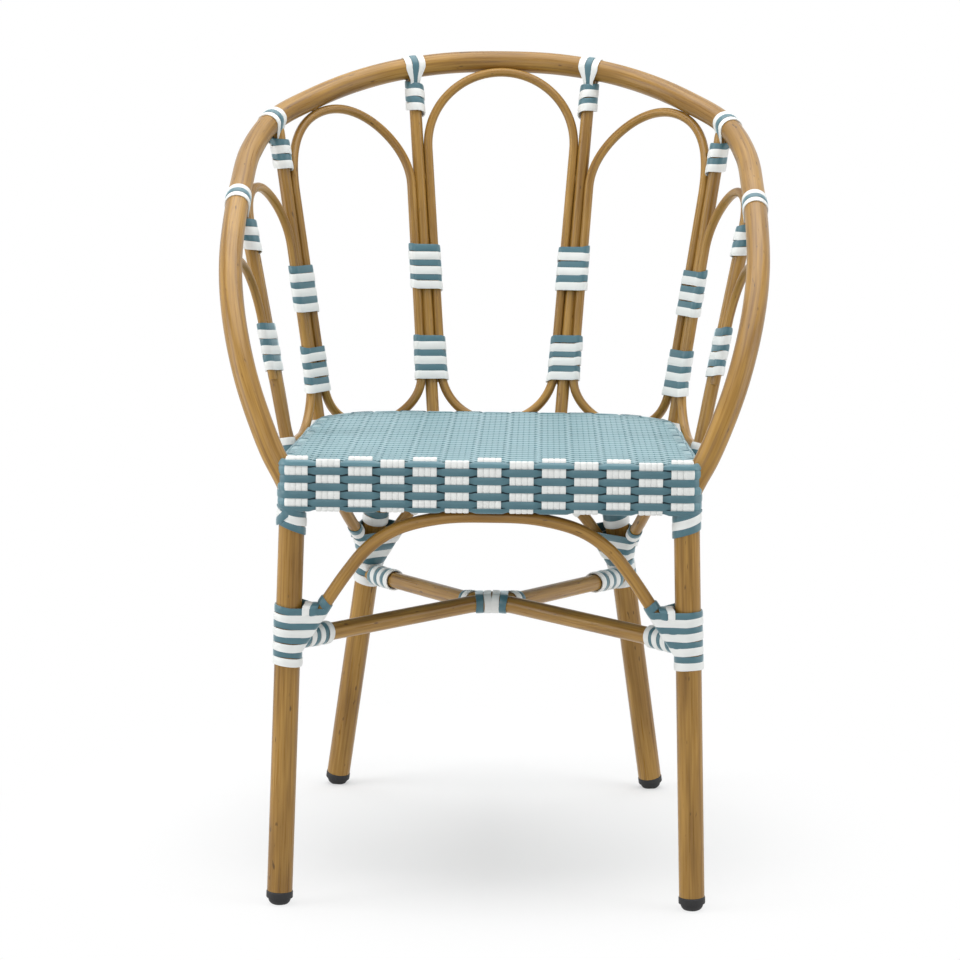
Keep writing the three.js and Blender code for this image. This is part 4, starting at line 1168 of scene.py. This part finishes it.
def wind(tubes, origin, axis, pitch, bands, first_blue=True, slant=0.25, seed=0.0,
         clear=1.5):
    """Routes of the blue and the white strap of a binding: spots in millimetres,
    facings and widths."""
    along = unit(axis)
    across = np.array((1.0, 0.0, 0.0) if abs(along[0]) < 0.7 else (0.0, 1.0, 0.0))
    across = unit(across - along * (across @ along))
    over = np.cross(along, across)
    axes = (across, over, along)
    behind = math.atan2(over[1], across[1])
    routes = {"blue": [], "white": []}
    for k in range(min(2, bands)):
        turns = (bands - k + 1) // 2
        count = turns * WINDING_STEPS + 1
        u = np.linspace(-OVERLAP, turns + OVERLAP, count)
        climb = sum((smooth_step((u - m) / SEAM_SHARE + 0.5) for m in range(1, turns)),
                    np.zeros(count))
        climb = (1 - slant) * climb + slant * (u - 0.5)
        colour = "blue" if (k == 0) == first_blue else "white"
        raised = bands > 1 and colour == "white"
        wobble = WOBBLE * pitch * (
            np.sin(FULL_TURN * u * 0.93 + seed * 1.7 + k * 2.1)
            + 0.8 * np.sin(FULL_TURN * u * 1.9 + seed * 2.9 + k * 1.3))
        middle = pitch * (k + 0.5 + 2 * climb) + wobble
        to_end = np.minimum(u, turns - u) + OVERLAP
        lift = (clear + WHITE_OVER * raised + 0.22 * np.sin(u * 4.4 + seed + k)
                - 2.6 * smooth_step(1 - to_end / 0.07)
                + 0.2 * smooth_step((u - turns) / OVERLAP + 2.0))
        squeeze = smooth_step(np.abs(climb % 1.0 - 0.5) * -4 + 1.4)
        width = (pitch - 0.2) * (1 - 0.08 * squeeze * (1 - slant))
        width = width + (WHITE_WIDER * raised + 0.25) * (bands > 1)
        spots, faces = [], []
        for a, h, w, c in zip(behind + FULL_TURN * u, middle, width, lift):
            edges = []
            for level in (h - w / 2, h + w / 2):
                ovals = ovals_at(tubes, origin, axes, level)
                if not len(ovals):
                    ovals = ovals_at(tubes[:1], origin, axes, h)
                x, y = hull_spot(ovals, a, c)
                edges.append(origin + across * x + over * y + along * level)
            spots.append((edges[0] + edges[1]) / 2)
            normal = across * math.cos(a) + over * math.sin(a)
            up_strap = unit(edges[1] - edges[0])
            faces.append(normal - up_strap * (normal @ up_strap))
        routes[colour].append((np.array(spots), unit(np.array(faces)), width))
    return routes


def merged(*every):
    return {colour: [route for routes in every for route in routes[colour]]
            for colour in ("blue", "white")}


def strap_pieces(name, routes, node, phase, left=False):
    """The blue and the white piece of a binding. The first one made takes the place of
    the CAD solid."""
    for colour, material in (("blue", blue), ("white", white)):
        ribbons = []
        for number, (spots, faces, width) in enumerate(routes[colour]):
            if left:
                spots, faces = mirror(spots), mirror(faces)
            ribbons.append(ribbon(place(spots), faces, width, 0.45, 5,
                                  phase=phase(number)))
        if ribbons:
            joined(name + "_" + colour, ribbons, BINDING_STRAP, material,
                   node)
            node = None


def both(name, make, node=None):
    """A binding on the right and its mirror image, wound a little differently."""
    for side, seed in (("_right", 0.0), ("_left", 2.3)):
        strap_pieces(name + side, make(seed), node and node + side,
                     lambda number: 0.31 * number + 0.17 * len(name), side == "_left")


print("winding helper ready")

# %% [markdown]
# Ten bindings hold each post to the thin loops beside it. Each is six bands tall, blue
# at the top and white at the bottom. Blue and white are two straps wound side by side:
# they climb from one band to the next at the back, where it doesn't show.

# %% Bindings on the posts
LOOP_TUBES = {name: (np.vstack([line, line[:1]]), LOOP_TUBE)
              for name, line in LOOPS.items()}
BESIDE = {"centre": [LOOP_TUBES["centre"], LOOP_TUBES["side"]],
          "side": [LOOP_TUBES["side"], LOOP_TUBES["outer"]],
          "outer": [LOOP_TUBES["outer"], (half_arch, HALF_ARCH_TUBE)]}
POST_BANDS, POST_BAND = 6, 8.3


def down_post(post):
    return unit(post_at(post, POST_LEVEL) - post_at(post, HOOP[2]))


def on_post(post, middle):
    tubes = [(post_line(post), POST_TUBE)] + BESIDE[post]
    down = down_post(post)
    origin = post_at(post, middle) - down * POST_BAND * POST_BANDS / 2
    return lambda seed: wind(tubes, origin, down, POST_BAND, POST_BANDS, slant=0.3,
                             seed=seed + middle, clear=2.1)


for post, middle, name in (("centre", 594.0, "centre_upper"),
                           ("centre", 496.0, "centre_lower"),
                           ("side", 579.0, "side_upper"), ("side", 492.0, "side_lower"),
                           ("outer", 537.0, "outer")):
    both(name + "_wrap", on_post(post, middle), name + "_binding")
print("bindings on the posts: 10")

# %% [markdown]
# Each post hangs on the hoop by three bands, white, blue and white. They lie side by
# side over the hoop, draw together under it, and are held by straps wound round the
# neck of the post.

# %% Bindings on the hoop
HOOP_BAND, NECK_START, NECK_BAND, NECK_BANDS = 7.7, 18.0, 8.0, 4


def over_hoop(post, seed):
    down = down_post(post)
    highest = POSTS[post][2] + 15.0
    tops = np.array([post_at(post, z) for z in np.arange(highest, POST_LEVEL, -1.0)])
    gaps = np.linalg.norm(tops[:, None] - hoop_line[None], axis=2)
    k = int(np.argmin(gaps.min(0)))
    middle = hoop_line[k]
    tangent = unit(hoop_line[k + 1] - hoop_line[k - 1])
    below = unit(down - tangent * (down @ tangent))
    side = np.cross(tangent, below)
    drift = (down @ tangent) / (down @ below)
    ovals = np.array([(0.0, 0.0, HOOP_TUBE, 0.0, 0.0), (14.5, 0.0, 6.4, 0.0, 0.0)])
    angle = np.linspace(0.0, FULL_TURN, 61) + 0.01
    faces = np.outer(np.cos(angle), below) + np.outer(np.sin(angle), side)
    routes = {"blue": [], "white": []}
    for offset, colour in ((-HOOP_BAND, "white"), (0.0, "blue"), (HOOP_BAND, "white")):
        flat = np.array([hull_spot(ovals, a, 1.5 if offset else 1.7) for a in angle])
        drawn = 1 - 0.62 * smooth_step((flat[:, 0] - 2.0) / 17.0)
        along = offset * drawn + drift * np.maximum(flat[:, 0], 0.0)
        spots = (middle + np.outer(flat[:, 0], below) + np.outer(flat[:, 1], side)
                 + np.outer(along, tangent))
        routes[colour].append((spots, faces, 7.3 * (0.55 + 0.45 * drawn)))
    start = middle + (below + tangent * drift) * NECK_START
    neck = wind([(post_line(post), POST_TUBE)], start, down, NECK_BAND, NECK_BANDS,
                slant=0.75, seed=seed + k, clear=3.8)
    return merged(routes, neck)


for post in POSTS:
    both(post + "_hoop_wrap", lambda seed: over_hoop(post, seed),
         post + "_hoop_binding")
print("bindings on the hoop: 6")

# %% [markdown]
# At each leg the strap winds round the leg and the ends of two arches at once, so the
# binding is wide at the top and narrows downward. A six-band collar sits on the
# stretcher's end and smaller ones on the ends of the arches. At the front, two short
# straps also saddle the top of the binding, between the leg and the arch.

# %% Bindings on the legs
LEG_BANDS, COLLAR_BANDS = 8, 6
SADDLE_END, SADDLE_WIDTH, SADDLE_RISE = 11.0, 7.2, 4.6


def collar(line, radius, start, direction, pitch, bands, first_blue, seed, clear=1.35):
    return wind([(line, radius)], start, direction, pitch, bands, first_blue, 0.2, seed,
                clear)


def leg_wrap(leg, arch, stretcher, height, pitch, away, band, seed):
    tubes = [(leg_line(leg), LEG_TUBE), (arch, ARCH_TUBE), (side_arch, ARCH_TUBE)]
    wound = wind(tubes, on_leg(leg, height), down_leg(leg), pitch, LEG_BANDS,
                 slant=0.22, seed=seed, clear=1.8)
    ends = stretcher if stretcher[0][0] > 0 else stretcher[::-1]
    inward = unit(ends[8] - ends[0])
    on_stretcher = collar(ends[:18], STRETCHER_TUBE, ends[0] + inward * away, inward,
                          band, COLLAR_BANDS, True, seed, clear=2.4)
    return merged(wound, on_stretcher)


def arch_collar(line, height, pitch, bands, seed):
    right_half = np.nonzero(line[:, 0] > 0)[0]
    k = right_half[np.argmin(np.abs(line[right_half, 2] - height))]
    step = line[k + 1] - line[k - 1]
    up = unit(step) * (1 if step[2] > 0 else -1)
    return collar(line[max(k - 8, 0):k + 9], ARCH_TUBE, line[k], -up, pitch, bands,
                  True, seed)


def saddle(leg, arch, height, offset):
    """The route of a short strap over the top of the binding, from back to front."""
    down = down_leg(leg)
    across = unit(np.array((1.0, 0.0, 0.0)) - down * down[0])
    over = np.cross(down, across)
    origin = on_leg(leg, height)
    tubes = [(leg_line(leg), LEG_TUBE), (arch, ARCH_TUBE)]
    angles = np.linspace(0.05, HALF_TURN - 0.05, 120)
    spots, faces = [], []
    for t in np.linspace(-1.0, 1.0, 41):
        drop = np.interp(abs(t), (0.3, 1.0), (0.4, SADDLE_END))
        lift = np.interp(abs(t), (0.7, 0.85), (2.9, 1.3))
        ovals = ovals_at(tubes, origin, (across, over, down), drop)
        faced = []
        for sign in (1, -1):
            edge = np.array([hull_spot(ovals, sign * a, lift) for a in angles])
            faced.append((np.interp(-offset, edge[::-1, 0], edge[::-1, 1]),
                          sign * np.interp(-offset, edge[::-1, 0], angles[::-1])))
        (front_deep, front_lean), (back_deep, back_lean) = faced
        turn = HALF_TURN / 2 * min(max(t / 0.3, -1.0), 1.0)
        half_depth = (front_deep - back_deep) / 2
        deep = (front_deep + back_deep) / 2 + half_depth * math.sin(turn)
        lean = front_lean if t > 0 else back_lean
        rise = math.cos(turn)
        spots.append(origin - across * (offset + 2.0 * rise) + over * deep
                     + down * (drop - SADDLE_RISE * rise))
        outward = across * math.cos(lean) * (1 - rise) ** 2 + over * math.sin(turn)
        faces.append(outward - down * rise)
    return np.array(spots), unit(np.array(faces)), np.full(len(spots), SADDLE_WIDTH)


def front_leg_wrap(seed):
    height = 306.0
    saddles = {colour: [saddle("front", front_arch, height, offset + 0.4 * seed)]
               for colour, offset in (("white", 16.6), ("blue", 24.0))}
    wrap = leg_wrap("front", front_arch, front_stretcher, height, 7.35, 17.0, 5.9, seed)
    return merged(wrap, saddles, arch_collar(front_arch, 312.0, 8.0, 1, seed))


def rear_leg_wrap(seed):
    wrap = leg_wrap("rear", rear_arch, rear_stretcher, 314.0, 8.7, 20.0, 8.2, seed)
    near_rear = side_arch[len(side_arch) // 2:]
    return merged(wrap, arch_collar(rear_arch, 341.0, 7.6, 2, seed),
                  arch_collar(near_rear, 320.0, 7.6, 2, seed))


both("front_leg_wrap", front_leg_wrap, "front_leg_binding")
both("rear_leg_wrap", rear_leg_wrap, "rear_leg_binding")
print("bindings on the legs: 4")

# %% [markdown]
# A slanted winding covers the top of each front leg. On the left leg, two more straps
# cross it the other way and run up behind the apron. The rear legs have two bands above
# their bindings.

# %% Bindings on the leg tops
RING_SLOPE, APRON_FOOT = 15.5, 398.0


def sloping_ring(height, clear, width):
    """The route of a strap round the front leg that is lowest on the leg's outer side.
    Where it rises behind the apron, it draws in toward the leg."""
    angle = np.linspace(0.0, FULL_TURN, 61) + HALF_TURN / 2
    out = np.stack([np.cos(angle), np.sin(angle), 0 * angle], 1)
    centre = np.array([on_leg("front", height - RING_SLOPE * c) for c in np.cos(angle)])
    draw_in = 2.8 * smooth_step((centre[:, 2:] - APRON_FOOT) / 6.0)
    return centre + out * (LEG_TUBE + clear - draw_in), out, np.full(len(angle), width)


def leg_top(leg, height, pitch, bands, slant, seed):
    return wind([(leg_line(leg), LEG_TUBE)], on_leg(leg, height), down_leg(leg), pitch,
                bands, slant=slant, seed=seed)


def front_top_wrap(seed):
    wound = leg_top("front", 406.0, 7.4, 3, 1.5, seed)
    if not seed:
        return wound
    return merged(wound, {"blue": [sloping_ring(405.9, 2.8, 8.0)],
                          "white": [sloping_ring(413.4, 2.4, 7.6)]})


both("front_leg_top_wrap", front_top_wrap, "front_leg_top_binding")
both("rear_leg_top_wrap", lambda seed: leg_top("rear", 332.0, 8.2, 2, 0.2, seed))
print("bindings on the leg tops: 4")

# %% [markdown]
# In the middle, where the two stretchers meet, four bands hold them together: blue, two
# white and blue. One more pair of bands sits on each arm of the rear stretcher.

# %% Binding in the middle
crossed = [(front_stretcher, STRETCHER_TUBE), (rear_stretcher, STRETCHER_TUBE)]
middle_routes = merged(*(
    wind(crossed, CROSSING + (x, 0.0, 0.0), (1.0, 0.0, 0.0), width, 1, is_blue, 0.0, x)
    for x, width, is_blue in ((-16.4, 8.5, True), (-8.2, 8.1, False),
                              (-0.2, 8.1, False), (8.0, 8.5, True))))
rear_middle = len(rear_stretcher) // 2
for sign in (1, -1):
    arm = rear_stretcher[rear_middle - 12:rear_middle + 13]
    arm = arm if arm[-1][0] * sign > 0 else arm[::-1]
    direction = unit(arm[-1] - arm[14])
    middle_routes = merged(middle_routes, collar(
        arm[13:], STRETCHER_TUBE, arm[16] - direction * 3.0, direction, 6.4, 2, False,
        sign))
strap_pieces("centre_wrap", middle_routes, "centre_binding",
             lambda number: 0.4 * number)
print("bands in the middle:", sum(len(r) for r in middle_routes.values()))

# %% [markdown]
# The feet of the side and outermost posts have short wraps just above the seat.

# %% Wraps at the feet of the posts
def foot_wrap(post, height):
    return lambda seed: wind([(post_line(post), POST_TUBE)], post_at(post, height),
                             down_post(post), 7.0, 2, False, 0.35, seed + height, 1.4)


both("outer_foot_wrap", foot_wrap("outer", 443.0))
both("side_foot_wrap", foot_wrap("side", 437.0))
print("wraps at the posts' feet: 4")

# %% [markdown]
# Small weld beads join the thin loops to the hoop and to the posts where nothing is
# wound round them. A bead is a short, thin run of metal under the same paint. It is a
# short tube whose ends are then drawn in.

# %% Weld beads
BEAD_TUBE, BEAD_REACH = 2.1, 5.0


def touching(line_a, line_b, lowest):
    """Where two lines come nearest above a height, and the way the first one runs."""
    a, b = line_a[line_a[:, 2] > lowest], line_b[line_b[:, 2] > lowest]
    gaps = np.linalg.norm(a[:, None] - b[None], axis=2)
    i, j = np.unravel_index(np.argmin(gaps), gaps.shape)
    return a[i], b[j], unit(a[min(i + 1, len(a) - 1)] - a[max(i - 1, 0)])


def bead(name, loop, other_line, lowest):
    spot, other, way = touching(LOOPS[loop], other_line, lowest)
    at = spot + unit(other - spot) * (LOOP_TUBE + 0.2)
    line = at + np.outer(np.linspace(-BEAD_REACH, BEAD_REACH, 9), way)
    alone = name == "centre_loop_bead"
    for side, sign in (("", 1),) if alone else (("_right", 1), ("_left", -1)):
        turned = line * (sign, 1.0, 1.0)
        piece = tube(name + side, turned, BEAD_TUBE, None, sides=10)
        middle = place(turned)
        corners, nearest = mesh_corners(piece, middle)
        far = (corners - middle[4]) @ (way * (sign, 1.0, 1.0)) / (BEAD_REACH * MM)
        near = middle[nearest]
        swell = np.sqrt(np.clip(1.02 - far**2, 0.05, 1.0))[:, None]
        set_corners(piece, [near + (corners - near) * swell])


for loop, lowest in (("centre", 700.0), ("side", 650.0), ("outer", 600.0)):
    bead(loop + "_loop_bead", loop, hoop_line, lowest)
for loop, lowest in (("centre", 690.0), ("side", 660.0), ("outer", 600.0)):
    bead(loop + "_post_bead", loop, post_line(loop), lowest)
print("weld beads: 11")

# %% [markdown]
# Each leg ends in a black plastic cap with a rim as wide as the tube, a shallow groove,
# and a rounded foot that is worn flat on the ground. It is turned like a lathe part:
# one profile carried round an axis.

# %% Foot caps
CAP = ((0.0, -1.0), (4.0, -0.8), (6.6, -0.2), (8.6, 0.8), (10.2, 2.4), (11.1, 4.3),
       (11.4, 6.0), (11.5, 6.9), (12.7, 7.0), (13.3, 7.2), (13.45, 7.7), (13.45, 13.0),
       (13.2, 13.3), (13.0, 13.6), (13.0, 14.2), (0.0, 14.2))
LOWEST = 0.05


def foot_cap(name, foot, top, node):
    axis = unit(top - foot)
    across = unit(np.cross(axis, (0.0, 1.0, 0.0)))
    turned = arc(0.0, 0.0, 1.0, 0.0, FULL_TURN, 41) @ (across, np.cross(axis, across))
    piece = new_grid(len(turned), len(CAP))
    piece.name = name
    spots = np.vstack([foot + axis * z + turned * r for r, z in CAP])
    spots[:, 2] = np.maximum(spots[:, 2], LOWEST)
    set_corners(piece, [place(spots)])
    close_seams(0.00002)
    bpy.ops.object.shade_smooth_by_angle(angle=math.radians(38))
    piece.data.materials.append(rubber)
    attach(piece, "root")
    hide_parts(node)


for leg, ends in LEGS.items():
    foot_cap(leg + "_cap_right", *ends, leg + "_foot_cap_right")
    foot_cap(leg + "_cap_left", *mirror(ends), leg + "_foot_cap_left")
print("foot caps: 4")
